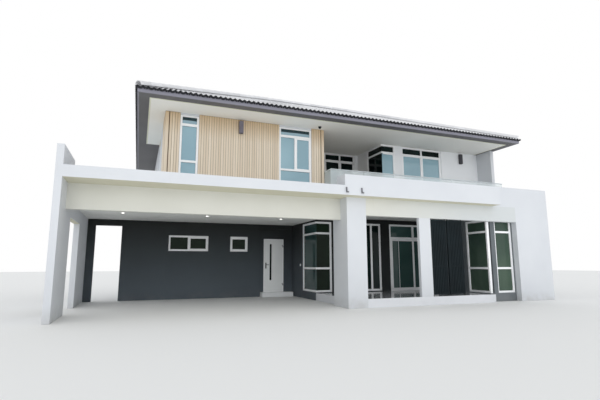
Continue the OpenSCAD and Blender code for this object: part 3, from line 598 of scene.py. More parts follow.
def dressWindow(low, high, panes, glassFor, sashFor):
    look = windowLook
    sideways = high.x - low.x < high.y - low.y
    across, along = (0, 1) if sideways else (1, 0)
    span = (low[along], high[along])
    outwards = -1 if low[across] < look["sideEnds" if sideways else "frontEnds"] else 1
    face, rear = (low[across], high[across]) if outwards < 0 else (high[across], low[across])
    lights = [lightOf(pane, along, span) for pane in panes]

    def ring(front, back, outer, hole, key, edge=0.0):
        return paint(plate(sideways, front, back, clipped(outer, span), [hole], edge), key)

    parts = [paint(plate(sideways, face, rear, (*span, low.z, high.z), lights, look["edge"]), "frameWhite")]
    for pane, light in zip(panes, lights):
        glassFace = pane[0 if outwards < 0 else 1][across]
        outer = shrunk(light, look["beadLap"], span)
        bead = shrunk(light, look["beadWidth"], span)
        seal = shrunk(bead, look["gasketWidth"], span)
        parts.append(ring(face - outwards * look["beadFront"], glassFace, outer, bead, "frameWhite"))
        parts.append(ring(glassFace + outwards * look["gasketProud"], glassFace, bead, seal, "black"))
        if sashFor(pane):
            inner = shrunk(light, look["sashSide"], span, look["sashTop"])
            parts.append(ring(face + outwards * look["sashProud"], glassFace, outer, inner, "frameWhite",
                              look["edge"]))
        glass = block((*pane[0][:2], light[2]), (*pane[1][:2], light[3]))
        parts.append(paint(roundEdges(glass, look["glassEdge"], 1), glassFor(pane)))
    return parts


def isGlass(part):
    return part.data.materials[0].name.endswith("_glass")


def dressStorey(storey, glassFor, sashFor):
    # dresses a storey's windows and returns the panes that no window frame holds
    frames, glass = storey + "_window_frames", storey + "_glass"
    panes = solidsOf(glass)
    parts = []
    for low, high in solidsOf(frames):
        own = [p for p in panes if inside((low, high), p)]
        parts += dressWindow(low, high, own, glassFor, sashFor)
        panes = [p for p in panes if p not in own]
    bars = [p for p in parts if not isGlass(p)]
    sheets = [p for p in parts if isGlass(p)]
    addPiece(joinPieces(storey + "_window_bars", bars), "house", "white_aluminium", frames)
    addPiece(joinPieces(storey + "_window_panes", sheets), "house", "glass", glass)
    return panes


paneSorts = {
    "thin": 0.05,                                      # a pane that faces sideways is thinner in x
    "recessSet": 0.16, "recessDepth": (0.1, 0.2), "timberDepth": 0.1, "sideBack": 4.0, "sideLeft": -3,
    "upperSash": (3.2, 5.0), "sashWidth": (0.5, 1.0), "timberSash": (-1.2, -0.5),
    "lowSash": (1.7, 2.3), "lowSashWidth": 0.7, "lowSashLeft": -4.2, "bayRight": 2.0, "wingLeft": 4.9,
}
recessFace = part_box("balcony_walls")[1].y - paneSorts["recessSet"]
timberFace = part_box("upper_front_wall")[0].y


def facesSideways(pane):
    return pane[1].x - pane[0].x < paneSorts["thin"]


def upperGlass(pane):
    # painted reflections: the top lights are painted with the eaves, the recess with its own shade, the
    # rest with the sky
    sorts = paneSorts
    low, high = pane
    underEaves = low.z > windowLook["eavesZ"]
    if underEaves and abs(low.y - timberFace) < sorts["timberDepth"]:
        return "splitGlass"
    before, behind = sorts["recessDepth"]
    inRecess = low.y > recessFace - before and high.y < recessFace + behind
    recessSide = facesSideways(pane) and high.y < sorts["sideBack"] and low.x > sorts["sideLeft"]
    return "blackGlass" if underEaves or inRecess or recessSide else "paleGlass"


def upperSash(pane):
    # the middle lights of the front windows, and the right one of the pair in the timber wall
    sorts = paneSorts
    low, high = pane
    wide = high.x - low.x
    inRow = low.z > sorts["upperSash"][0] and sorts["upperSash"][1] < high.z < windowLook["eavesZ"]
    fits = sorts["sashWidth"][0] < wide < sorts["sashWidth"][1]
    inTimber = sorts["timberSash"][0] < low.x < sorts["timberSash"][1]
    return inRow and low.y < 0 and (fits or inTimber)


def groundGlass(pane):
    # painted reflections: the bay's side is painted with the door, the windows under the carport with
    # greenery
    low = pane[0]
    if facesSideways(pane) and low.x < paneSorts["bayRight"]:
        return "deepGlass"
    if low.x > paneSorts["wingLeft"]:
        return "leafGlass"
    return "greenGlass" if low.x < 0 else "blackGlass"


def groundSash(pane):
    # the right half of the strip window and the small window beside it
    sorts = paneSorts
    low, high = pane
    inRow = low.z > sorts["lowSash"][0] and high.z < sorts["lowSash"][1]
    return inRow and high.x - low.x < sorts["lowSashWidth"] and low.y < 0 and low.x > sorts["lowSashLeft"]


dressStorey("upper", upperGlass, upperSash)
doorPanes = dressStorey("ground", groundGlass, groundSash)
print("windows ready", len(doorPanes), "panes left for the sliding door")

# Sliding door

slidingLook = {
    "jamb": 0.06, "sill": 0.03, "rail": 0.07, "edge": 0.003, "glassEdge": 0.0015,
    "track": (0.016, 0.024, 0.0045),                   # front, back and height
    "bead": 0.005, "beadProud": 0.014, "leafBeadProud": 0.012,
    "bar": 0.02, "barAt": 0.3, "barProud": 0.010, "barEdge": 0.003,
    "pull": (0.02, 0.8, 1.0), "pullProud": 0.012, "pullEdge": 0.005,
}


def doorBead(pane, proud, span):
    light = frontOf(*pane)
    return plate(False, pane[0].y - proud, pane[0].y, light, [shrunk(light, slidingLook["bead"], span)])


def doorPane(pane, name="pane"):
    # the sea glass's tint is a painted reflection
    return paint(roundEdges(block(*pane, name), slidingLook["glassEdge"], 1), "seaGlass")


def dressDoorFrame(low, high, leafDepth, leafFront):
    # the frame with its top lights, the fixed leaf, the track and the beads
    look = slidingLook
    panes = sorted(doorPanes, key=lambda p: p[0].z)
    fixed, lights = panes[0], panes[1:]
    jamb, rail = look["jamb"], look["rail"]
    opening = (low.x + jamb, high.x - jamb, low.z + look["sill"], lights[0][0].z - jamb)
    holes = [opening] + [frontOf(*light) for light in lights]
    stile = (fixed[0].x - rail, fixed[1].x + rail, fixed[0].z - rail, fixed[1].z + rail)
    middle = (fixed[0].y + fixed[1].y) / 2
    near, far, height = look["track"]
    parts = [plate(False, low.y, high.y, frontOf(low, high), holes, look["edge"]),
             plate(False, middle - leafDepth / 2, middle + leafDepth / 2, stile, [frontOf(*fixed)],
                   look["edge"]),
             block((opening[0], leafFront + near, opening[2]),
                   (opening[1], leafFront + far, opening[2] + height))]
    parts += [doorBead(pane, look["beadProud"], (low.x, high.x)) for pane in panes]
    addPiece(joinPieces("sliding_door_bars", paintAll(parts, "frameWhite")), "house", "white_aluminium",
             "sliding_door_frame")
    addPiece(joinPieces("sliding_door_fixed_panes", [doorPane(p) for p in panes]), "house", "glass")


def dressDoorLeaf(low, high):
    look = slidingLook
    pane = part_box("sliding_door_glass")
    light = frontOf(*pane)
    face = pane[0].y
    barX = light[0] + look["barAt"] * (light[1] - light[0])
    bar = block((barX, face - look["barProud"], light[2]), (barX + look["bar"], face, light[3]))
    width, foot, head = look["pull"]
    centre = low.x + look["rail"] / 2
    pull = block((centre - width / 2, low.y - look["pullProud"], low.z + foot),
                 (centre + width / 2, low.y, low.z + head))
    parts = [plate(False, low.y, high.y, frontOf(low, high), [light], look["edge"]),
             doorBead(pane, look["leafBeadProud"], (low.x, high.x)),
             roundEdges(bar, look["barEdge"], 1), roundEdges(pull, look["pullEdge"], 3)]
    addPiece(joinPieces("sliding_door_panel", paintAll(parts, "frameWhite")), "sliding_door",
             "white_aluminium", "sliding_door_leaf")
    addPiece(doorPane(pane, "sliding_door_pane"), "sliding_door", "glass", "sliding_door_glass")


leafLow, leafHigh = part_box("sliding_door_leaf")
dressDoorFrame(*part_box("sliding_door_frame"), leafHigh.y - leafLow.y, leafLow.y)
dressDoorLeaf(leafLow, leafHigh)
print("sliding door ready")

# Timber boards

boardLook = {
    "pitch": 0.0755, "gap": 0.015, "groove": 0.018, "edge": 0.004, "backing": 0.0275,
    "post": 0.112, "joint": 0.016, "jointSet": 0.012, "headGap": 0.010, "returnWidth": 1.204,
}


def setTones(piece, cell, seed):
    # a tone from 0 to 1 for each cell of the pattern, kept on the faces
    tones = {}
    attribute = piece.data.attributes.new("tone", "FLOAT", "FACE")
    for polygon in piece.data.polygons:
        key = cell(polygon.center)
        if key not in tones:
            tones[key] = random.Random(f"{seed}{key}").random()
        attribute.data[polygon.index].value = tones[key]


def boardsAlong(start, end, face, foot, head, sideways=False, inwards=1):
    # upright boards side by side, each with rounded edges, on a thin backing
    look = boardLook
    count = max(1, round((end - start) / look["pitch"]))
    pitch = (end - start) / count

    def corners(u0, u1, near, far, z0, z1):
        v0, v1 = sorted((face + inwards * near, face + inwards * far))
        return ((v0, u0, z0), (v1, u1, z1)) if sideways else ((u0, v0, z0), (u1, v1, z1))

    half = look["gap"] / 2
    board = roundEdges(block(*corners(start + half, start + pitch - half, 0, look["groove"], foot, head)),
                       look["edge"], 1)
    repeatPiece(board, count, (0, pitch, 0) if sideways else (pitch, 0, 0))
    setTones(board, lambda c: math.floor(((c.y if sideways else c.x) - start) / pitch), round(start, 3))
    # the backing takes the darker stain: painted shade in the grooves and in the gap at the top
    backing = block(*corners(start, end, look["groove"], look["backing"], foot, head + look["headGap"]))
    return [paint(board, "timber"), paint(backing, "timberGrooveShade")]


def dressTimber():
    look = boardLook
    low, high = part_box("timber_cladding")
    windows = sorted([b for b in solidsOf("upper_window_frames")
                      if abs(b[0].y - timberFace) < 0.01 and b[1].x < high.x], key=lambda b: b[0].x)
    foot, head = low.z, high.z - look["headGap"]
    runs = [(low.x, low.x + look["post"], head)]
    start = runs[0][1] + look["joint"]
    for window in windows:
        runs += [(start, window[0].x, head), (window[0].x, window[1].x, window[0].z)]
        start = window[1].x
    runs += [(start, high.x - look["post"] - look["joint"], head), (high.x - look["post"], high.x, head)]
    parts = []
    for start, end, top in runs:
        parts += boardsAlong(start, end, low.y, foot, top)
    # painted shade: dark strips set back in the corner joints stand for the shade in the gaps
    for start in (runs[0][1], runs[-1][0] - look["joint"]):
        joint = block((start, low.y + look["jointSet"], foot), (start + look["joint"], timberFace, high.z))
        parts.append(paint(joint, "timberJointShade"))
    parts += boardsAlong(timberFace, timberFace + look["returnWidth"], low.x, foot, head, True, 1)
    parts += boardsAlong(timberFace, high.y, high.x, foot, head, True, -1)
    addPiece(joinPieces("timber_boards", parts), "house", "timber", "timber_cladding")


dressTimber()
print("timber boards ready")

# Roof

roofLook = {
    "pitch": math.radians(24), "cover": 0.065, "wave": 0.1373, "waveHeight": 0.036, "sheet": 0.014,
    "courses": 18, "lap": 0.07, "lift": 0.020, "steps": 8, "rim": 0.004, "noseGap": 0.001,
    "combSet": 0.018, "combThick": 0.008, "combHeight": 0.05,
    "underlayIn": 0.02, "underlayLift": 0.008, "underlayThick": 0.006,
}
roofLow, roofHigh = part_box("roof_tiles")
slopeTop = roofLow.z + roofLook["cover"]               # upper edge of the covering at the eaves
ridgeY = (roofLow.y + roofHigh.y) / 2
roofRun = (roofHigh.y - roofLow.y) / 2


def waveSheet(name, width, length, middle, drop=0.0):
    # a flat sheet bent into two waves across, left open in edit mode
    look = roofLook
    columns = 2 * look["steps"]
    deselect()
    bpy.ops.mesh.primitive_grid_add(x_subdivisions=columns, y_subdivisions=1, size=1,
                                    location=(width / 2, middle, 0))
    sheet = settle(name, (width, length, 1))
    openEdit(sheet, "VERT")
    for column in range(columns + 1):
        across = column * width / columns
        rise = look["waveHeight"] * 0.5 * (1 - math.cos(2 * math.pi * column / look["steps"]))
        pickPoints(sheet, lambda c: abs(c.x - across) < 0.001)
        bpy.ops.transform.translate(value=(0, 0, rise - drop))
    return sheet


def slopeTiles(width, name):
    # one wavy tile, repeated over a slope that rises along +y from the eaves at y 0
    look = roofLook
    count = round(width / (2 * look["wave"]))
    tileWidth = width / count
    gauge = roofRun / math.cos(look["pitch"]) / look["courses"]
    tileLength = gauge + look["lap"]
    tile = waveSheet(name, tileWidth, tileLength, tileLength / 2)
    pickPoints(tile, lambda c: c.y > tileLength / 2)
    bpy.ops.transform.translate(value=(0, 0, -look["lift"] * tileLength / gauge))
    closeEdit()
    paint(tile, "roofTile")
    # painted shade: the second material is the dark shade colour, given to every tile's underside
    tile.data.materials.append(finish["tileShade"])
    applyModifier(tile, "SOLIDIFY", thickness=look["sheet"], offset=-1, material_offset=1)
    repeatPiece(tile, count, (tileWidth, 0, 0))
    repeatPiece(tile, look["courses"], (0, gauge, 0))
    # painted shade: the front rims of the first course take the dark colour too
    for polygon in tile.data.polygons:
        if polygon.center.y < look["rim"]:
            polygon.material_index = 1                 # dark undersides at the eaves
    return tile, count, tileWidth, gauge


def eavesComb(count, tileWidth, name):
    # a closure strip that fills the waves under the first course, coloured dark as painted shade of the
    # hollows
    look = roofLook
    comb = waveSheet(name, tileWidth, look["combThick"], look["combSet"], look["sheet"])
    closeEdit()
    applyModifier(comb, "SOLIDIFY", thickness=look["combHeight"], offset=-1)
    repeatPiece(comb, count, (tileWidth, 0, 0))
    return paint(comb, "tileShade")


def dressSlope(side, corner, turn, width):
    look = roofLook
    tile, count, tileWidth, gauge = slopeTiles(width, "roof_tiles_" + side)
    setTones(tile, lambda c: (math.floor(c.x / tileWidth), math.floor(c.y / gauge + 0.001)), side)
    comb = eavesComb(count, tileWidth, "eaves_comb_" + side)
    noseSet = look["waveHeight"] * math.sin(look["pitch"]) + look["noseGap"]    # noses end at the eaves
    place = (Matrix.Translation((*corner, slopeTop - look["waveHeight"]))
             @ Matrix.Rotation(turn, 4, "Z") @ Matrix.Translation((0, noseSet, 0))
             @ Matrix.Rotation(look["pitch"], 4, "X"))
    inward = Vector((math.cos(turn), math.sin(turn), 0))
    upSlope = Vector((-math.sin(turn), math.cos(turn), 0))
    start = Vector((*corner, 0))
    for piece, slot in ((tile, "roof_tile"), (comb, "dark_soffit")):
        piece.matrix_world = place
        applyPlace(piece)
        openEdit(piece)
        cutAt(start, inward - upSlope, inner=True, fill=True)
        cutAt(start + inward * width, -inward - upSlope, inner=True, fill=True)
        cutAt(start + upSlope * roofRun, -upSlope, inner=True, fill=True)
        closeEdit()
        addPiece(piece, "house", slot)
    return tile


def dressUnderlay():
    # a closed sheet under the tiles: a box whose top is drawn in to the ridge
    look = roofLook
    inset, foot = look["underlayIn"], roofLow.z + look["underlayLift"]
    rise = (roofRun - inset) * math.tan(look["pitch"])
    length = roofHigh.x - roofLow.x
    sheet = block((roofLow.x + inset, roofLow.y + inset, foot),
                  (roofHigh.x - inset, roofHigh.y - inset, foot + rise), "roof_underlay")
    openEdit(sheet)
    pickFaces(sheet, lambda c, n: n.z > 0.5)
    bpy.ops.transform.resize(value=((length - 2 * roofRun) / (length - 2 * inset), 0, 1),
                             center_override=((roofLow.x + roofHigh.x) / 2, ridgeY, 0))
    pickFaces(sheet, lambda c, n: n.z < -0.5)
    bpy.ops.mesh.delete(type="FACE")
    selectAll()
    bpy.ops.mesh.remove_doubles(threshold=0.001)
    turnOut()
    closeEdit()
    applyModifier(sheet, "SOLIDIFY", thickness=look["underlayThick"], offset=1)
    addPiece(paint(sheet, "darkGrey"), "house", "dark_soffit")


roofLength, roofDepth = roofHigh.x - roofLow.x, roofHigh.y - roofLow.y
frontTiles = dressSlope("front", (roofLow.x, roofLow.y), 0.0, roofLength)
dressSlope("right", (roofHigh.x, roofLow.y), math.pi / 2, roofDepth)
dressSlope("back", (roofHigh.x, roofHigh.y), math.pi, roofLength)
dressSlope("left", (roofLow.x, roofHigh.y), -math.pi / 2, roofDepth)
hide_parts("roof_tiles")
dressUnderlay()
print("roof tiles ready")

capLook = {
    "radius": 0.0987, "length": 0.40, "lap": 0.03, "below": 0.2, "thick": 0.012, "lip": 0.035,
    "lipEnd": 0.04, "flare": 1.06, "set": 0.005, "ridgeEnds": (0.05, 0.02), "hipEnds": (0.015, 0.004),
    "tones": 2.5,
}


def capTile(length):
    # half a round ridge tile with a rolled lip at its lower end, lying along +x
    look = capLook
    deselect()
    bpy.ops.mesh.primitive_cylinder_add(vertices=20, radius=look["radius"], depth=length,
                                        end_fill_type="NOTHING", location=(length / 2, 0, 0),
                                        rotation=(0, math.pi / 2, 0))
    cap = settle("cap")
    openEdit(cap)
    cutAt((0, 0, -look["below"] * look["radius"]), (0, 0, 1), inner=True)
    cutAt((look["lip"], 0, 0), (1, 0, 0))
    pickPoints(cap, lambda c: c.x < look["lipEnd"])
    bpy.ops.transform.resize(value=(1, look["flare"], look["flare"]), center_override=(0, 0, 0))
    closeEdit()
    return applyModifier(cap, "SOLIDIFY", thickness=look["thick"], offset=-1)


def capsAlong(start, end):
    length = (end - start).length
    count = max(1, round(length / capLook["length"]))
    step = length / count
    cap = repeatPiece(capTile(step + capLook["lap"]), count, (step, 0, 0))
    direction = (end - start).normalized()
    side = Vector((0, 0, 1)).cross(direction).normalized()
    up = direction.cross(side)
    cap.matrix_world = Matrix.Translation(start) @ Matrix((direction, side, up)).transposed().to_4x4()
    return applyPlace(cap)


def dressRidges():
    look = capLook
    ridgeZ = slopeTop + roofRun * math.tan(roofLook["pitch"])
    left, right = roofLow.x + roofRun, roofHigh.x - roofRun
    before, after = look["ridgeEnds"]
    caps = [capsAlong(Vector((left - before, ridgeY, ridgeZ - look["set"])),
                      Vector((right + after, ridgeY, ridgeZ - look["set"])))]
    before, after = look["hipEnds"]
    for endX, cornerX in ((left, roofLow.x), (right, roofHigh.x)):
        for cornerY in (roofLow.y, roofHigh.y):
            corner = Vector((cornerX, cornerY, slopeTop))
            top = Vector((endX, ridgeY, ridgeZ))
            caps.append(capsAlong(corner + (top - corner) * before, top - (top - corner) * after))
    ridge = joinPieces("ridge_and_hip_caps", caps)
    setTones(ridge, lambda c: round(c.x * look["tones"]), "cap")
    addPiece(paint(ridge, "roofTile"), "house", "roof_tile", "ridge_caps")


dressRidges()
print("ridge caps ready")

# Balustrade

railLook = {
    "panel": 1.2, "gap": 0.012, "glass": 0.012, "set": 0.019, "glassEdge": 0.002,
    "shoe": 0.08, "shoeEdge": 0.005, "inShoe": 0.03, "rail": 0.028, "railEdge": 0.012, "inRail": 0.01,
}


def dressBalustrade():
    look = railLook
    metal, glass = [], []
    for low, high in solidsOf("balustrade"):
        along = 0 if high.x - low.x > high.y - low.y else 1
        across = 1 - along
        shoeTop, railFoot = low.z + look["shoe"], high.z - look["rail"]
        for foot, head, edge in ((low.z, shoeTop, look["shoeEdge"]), (railFoot, high.z, look["railEdge"])):
            bar = block((low.x, low.y, foot), (high.x, high.y, head))
            metal.append(paint(roundEdges(bar, edge, 3), "railPaint"))
        count = max(1, round((high[along] - low[along]) / look["panel"]))
        step = (high[along] - low[along]) / count
        pane = [Vector((0, 0, shoeTop - look["inShoe"])), Vector((0, 0, railFoot + look["inRail"]))]
        pane[0][along] = low[along] + look["gap"] / 2
        pane[1][along] = low[along] + step - look["gap"] / 2
        pane[0][across] = low[across] + look["set"]
        pane[1][across] = low[across] + look["set"] + look["glass"]
        shift = Vector((0, 0, 0))
        shift[along] = step
        sheet = roundEdges(block(*pane), look["glassEdge"], 1)
        glass.append(paint(repeatPiece(sheet, count, shift), "railGlass"))
    addPiece(joinPieces("balustrade_rails", metal), "house", "white_aluminium", "balustrade")
    addPiece(joinPieces("balustrade_glass", glass), "house", "glass")


dressBalustrade()
print("balustrade ready")

# Shutters

shutterLook = {
    "stile": 0.05, "edge": 0.004, "foot": 0.05, "head": 0.025, "jointRise": 0.86, "jointHalf": 0.012,
    "ribs": 8, "ribGap": 0.012, "ribDepth": (0.003, 0.022), "ribEdge": 0.006,
    "backing": 0.02, "backingSet": 0.003, "pinIn": 0.03, "pinRadius": 0.012, "pinEdge": 0.001,
}


def dressShutters():
    look = shutterLook
    parts = []
    for low, high in solidsOf("shutter_panels"):
        foot, head = low.z + look["foot"], high.z - look["head"]
        left, right = low.x + look["stile"], high.x - look["stile"]
        joint, half = foot + look["jointRise"], look["jointHalf"]
        fields = ((foot + look["stile"], joint - half), (joint + half, head - look["stile"]))
        parts.append(plate(False, low.y, high.y, (low.x, high.x, foot, head),
                           [(left, right, *field) for field in fields], look["edge"]))
        pitch = (right - left) / look["ribs"]
        gap = look["ribGap"] / 2
        near, far = look["ribDepth"]
        for bottom, top in fields:
            rib = roundEdges(block((left + gap, low.y + near, bottom),
                                   (left + pitch - gap, low.y + far, top)), look["ribEdge"])
            parts.append(repeatPiece(rib, look["ribs"], (pitch, 0, 0)))
            parts.append(block((left, high.y - look["backing"], bottom),
                               (right, high.y - look["backingSet"], top)))
        y = (low.y + high.y) / 2
        for x in (low.x + look["pinIn"], high.x - look["pinIn"]):
            for bottom, top in ((low.z, foot), (head, high.z)):
                parts.append(roundEdges(tube((x, y, bottom), (x, y, top), look["pinRadius"]),
                                        look["pinEdge"], 1))
    addPiece(joinPieces("ribbed_shutters", paintAll(parts, "shutter")), "house", "dark_louvre",
             "shutter_panels")


dressShutters()
print("shutters ready")

# Lamps, spouts and the camera dome

lampLook = {
    "wall": 0.008, "recess": 0.12, "edge": 0.004, "plate": 0.012, "plateIn": (0.015, 0.06),
    "plateEdge": 0.003, "lensRadius": 0.036, "lensThick": 0.006, "lensIn": (0.02, 0.014), "lensEdge": 0.002,
}


def boxLamp(low, high):
    # a square tube on a back plate, open at the foot and the head, with a lens inside
    look = lampLook
    back = high.y - look["plate"]
    body = block(low, (high.x, back, high.z))
    openEdit(body)
    for up, end in ((1, high.z), (-1, low.z)):
        pickFaces(body, lambda c, n: n.z * up > 0.9 and abs(c.z - end) < 0.01)
        bpy.ops.mesh.inset(thickness=look["wall"], depth=0)
        extrudeBy((0, 0, -up * look["recess"]))
    closeEdit()
    roundEdges(body, look["edge"])
    inX, inZ = look["plateIn"]
    plateBack = roundEdges(block((low.x + inX, back, low.z + inZ), (high.x - inX, high.y, high.z - inZ)),
                           look["plateEdge"], 1)
    thick = look["lensThick"]
    x, y = (low.x + high.x) / 2, (low.y + high.y) / 2 - look["plate"] / 2
    lenses = []
    for z in (low.z + look["recess"] - look["lensIn"][0], high.z - look["recess"] + look["lensIn"][1]):
        lenses.append(roundEdges(tube((x, y, z), (x, y, z + thick), look["lensRadius"]),
                                 look["lensEdge"], 1))
    coat = "lampGrey" if low.x < 0 else "darkGrey"
    return [paint(body, coat), paint(plateBack, "darkGrey")] + paintAll(lenses, "lens")


def dressLamps():
    parts = []
    for low, high in solidsOf("wall_lamps"):
        parts += boxLamp(low, high)
    addPiece(joinPieces("box_lamps", parts), "house", "grey_metal", "wall_lamps")


downlightLook = {
    "rim": 0.008, "chamfer": 0.004, "deep": 0.008, "edge": 0.0015,
    "lensIn": 0.014, "lens": (0.001, 0.006), "lensEdge": 0.001,
}


def dressDownlights():
    look = downlightLook
    rings, lenses = [], []
    for low, high in solidsOf("carport_downlights"):
        x, y = (low.x + high.x) / 2, (low.y + high.y) / 2
        radius = (high.x - low.x) / 2
        ring = tube((x, y, low.z), (x, y, high.z), radius, sides=40)
        openEdit(ring)
        pickFaces(ring, lambda c, n: n.z < -0.9)
        bpy.ops.mesh.inset(thickness=look["rim"], depth=0)
        bpy.ops.mesh.inset(thickness=look["chamfer"], depth=-look["deep"])
        closeEdit()
        rings.append(roundEdges(ring, look["edge"]))
        foot, head = [low.z + rise for rise in look["lens"]]
        lens = tube((x, y, foot), (x, y, head), radius - look["lensIn"], sides=32)
        lenses.append(roundEdges(lens, look["lensEdge"], 1))
    addPiece(joinPieces("downlight_trims", paintAll(rings, "frameWhite") + paintAll(lenses, "litLens")),
             "house", "grey_metal", "carport_downlights")


spoutLook = {"radius": 0.019, "neck": 0.02, "drop": 0.03, "segments": 24, "rings": 12}


def dressSpouts():
    # a pipe from the wall, down and along it, with a ball at each bend
    look = spoutLook
    radius = look["radius"]
    parts = []
    for low, high in solidsOf("overflow_spouts"):
        x, y = low.x + radius, low.y + radius
        foot, neck = low.z + radius, high.z - look["neck"]
        parts += [tube((x, y, low.z + look["drop"]), (x, y, neck), radius),
                  tube((x, y, foot), (high.x, y, foot), radius),
                  tube((x, y, neck), (x, high.y, neck), radius)]
        parts += [ball((x, y, z), radius, look["segments"], look["rings"]) for z in (foot, neck)]
    parts = paintAll([smooth(part) for part in parts], "grey")
    addPiece(joinPieces("overflow_pipes", parts), "house", "grey_metal", "overflow_spouts")


domeLook = {
    "base": 0.055, "baseThick": 0.03, "baseEdge": 0.006, "radius": 0.046, "drop": 0.032, "cut": 0.028,
    "segments": 32, "rings": 20,
}


def dressDome():
    look = domeLook
    low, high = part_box("dome_camera")
    x, y = (low.x + high.x) / 2, (low.y + high.y) / 2
    base = tube((x, y, high.z - look["baseThick"]), (x, y, high.z), look["base"], sides=40)
    roundEdges(base, look["baseEdge"], 3)
    dome = ball((x, y, high.z - look["drop"]), look["radius"], look["segments"], look["rings"])
    openEdit(dome)
    cutAt((0, 0, high.z - look["cut"]), (0, 0, 1), outer=True, fill=True)
    closeEdit()
    parts = [paint(base, "darkGrey"), paint(smooth(dome), "blackGlass")]
    addPiece(joinPieces("dome_on_soffit", parts), "house", "grey_metal", "dome_camera")


socketLook = {
    "set": 0.9, "height": 1.2, "side": 0.086, "proud": 0.012, "edge": 0.004,
    "lid": (0.03, 0.024), "lidProud": 0.007, "lidSeat": 0.001, "lidEdge": 0.003,
    "hinge": 0.003, "hingeShare": 0.7, "hingeEdge": 0.0008,
}


def dressSocket():
    # a covered outlet on the side of the bay, facing the carport
    look = socketLook
    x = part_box("bay_side_wall")[0].x
    y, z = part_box("side_door_wall")[0].y - look["set"], look["height"]
    half = look["side"] / 2
    face = x - look["proud"]
    front = face - look["lidProud"]
    cover = block((face, y - half, z - half), (x, y + half, z + half))
    wide, tall = look["lid"]
    lid = block((front, y - wide, z - tall), (face + look["lidSeat"], y + wide, z + tall))
    pinX, reach = front + look["hinge"], wide * look["hingeShare"]
    hinge = tube((pinX, y - reach, z + tall), (pinX, y + reach, z + tall), look["hinge"])
    parts = [roundEdges(cover, look["edge"], 3), roundEdges(lid, look["lidEdge"]),
             roundEdges(hinge, look["hingeEdge"], 1)]
    addPiece(joinPieces("outlet_cover", paintAll(parts, "frameWhite")), "house", "white_aluminium")


trimLook = {"width": 0.04, "depth": 0.007, "edge": 0.002, "leftEnd": 0.25}


def dressSoffitTrim():
    # the pale edge strip between the dark border boards and the white soffit
    look = trimLook
    low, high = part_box("eaves_soffit")
    foot, head, width = low.z - look["depth"], low.z, look["width"]
    rear = low.y + width
    leftEnd = (low.y + high.y) / 2 - look["leftEnd"]
    strips = [((low.x, low.y, foot), (high.x, rear, head)),
              ((low.x, rear, foot), (low.x + width, leftEnd, head)),
              ((high.x - width, rear, foot), (high.x, high.y, head))]
    parts = [roundEdges(block(*strip), look["edge"], 1) for strip in strips]
    addPiece(joinPieces("soffit_edge_strip", paintAll(parts, "trim")), "house", "dark_soffit")


dressLamps()
dressDownlights()
dressSpouts()
dressDome()
dressSocket()
dressSoffitTrim()
print("small fittings ready")

# Side door

doorLook = {
    "thick": 0.04, "edge": 0.003, "hingeGap": 0.0055,
    "slotIn": 0.247, "slotWidth": 0.076, "slotFoot": 0.39, "slotHead": 1.805, "slotDeep": 0.01,
    "cutterOut": 0.02, "rimGap": 0.0002, "rimProud": 0.001, "rimWidth": 0.003, "rimDeep": 0.007,
    "stripShort": 0.003, "stripNarrow": 0.0035, "stripDepth": (0.004, 0.0065),
}
hingeLook = {
    "radius": 0.008, "half": 0.045, "gap": 0.0004, "plate": 0.03, "plateDepth": (0.006, 0.0098),
    "edge": 0.001, "at": (0.12, 0.88),
}
leverLook = {
    "plate": (0.022, 0.11, 0.008), "plateEdge": 0.003, "rise": 0.03, "reach": 0.044, "radius": 0.0095,
    "rose": (0.017, 0.012), "lock": (0.0105, 0.004), "lockDrop": 0.05, "screw": (0.0035, 0.0012),
    "screwIn": 0.014, "edge": 0.0012,
}
surroundLook = {
    "jamb": 0.035, "sill": 0.043, "edge": 0.003, "stop": 0.014, "stopGap": 0.007, "stopEdge": 0.002,
    "seal": (0.0058, 0.0072), "sealIn": (0.004, 0.010),
}


def roundStrip(x, foot, head, radius, front, back):
    # an upright strip with round ends, facing the front
    deselect()
    bpy.ops.mesh.primitive_circle_add(vertices=32, radius=radius, fill_type="NGON",
                                      location=(x, front, foot + radius), rotation=(math.pi / 2, 0, 0))
    strip = settle("strip")
    openEdit(strip, "VERT")
    pickPoints(strip, lambda c: c.z > foot + radius + 0.0001)
    bpy.ops.transform.translate(value=(0, 0, head - foot - 2 * radius))
    selectAll()
    extrudeBy((0, back - front, 0))
    turnOut()
    closeEdit()
    return strip


def hingeParts(axis, foot, reach):
    # half a hinge: a barrel on the axis and a flat leaf that reaches to one side
    look = hingeLook
    head = foot + look["half"] - look["gap"]
    barrel = tube((axis.x, axis.y, foot), (axis.x, axis.y, head), look["radius"])
    start, end = sorted((axis.x, axis.x + reach))
    near, far = [axis.y + depth for depth in look["plateDepth"]]
    leaf = block((start, near, foot), (end, far, head))
    return paintAll([roundEdges(barrel, look["edge"]), roundEdges(leaf, look["edge"], 1)], "steel")


def leverSet(x, face, outwards, z, leverEnd):
    # a long plate with a sprung lever, a lock below it and two screws
    look = leverLook
    half, tall, thick = look["plate"]
    near, far = sorted((face, face + outwards * thick))
    backPlate = roundEdges(block((x - half, near, z - tall), (x + half, far, z + tall)), look["plateEdge"])
    leverZ, radius = z + look["rise"], look["radius"]
    depth = face + outwards * look["reach"]

    def stud(height, size, proud, sides=24):
        return tube((x, face, height), (x, face + outwards * proud, height), size, sides)

    studs = [stud(leverZ, *look["rose"]), stud(leverZ, radius, look["reach"]),
             tube((x - radius, depth, leverZ), (leverEnd, depth, leverZ), radius),
             stud(z - look["lockDrop"], look["lock"][0], thick + look["lock"][1])]
    for rise in (look["screwIn"] - tall, tall - look["screwIn"]):
        studs.append(stud(z + rise, look["screw"][0], thick + look["screw"][1], 12))
    return paintAll([backPlate] + [roundEdges(part, look["edge"]) for part in studs], "handleGrey")


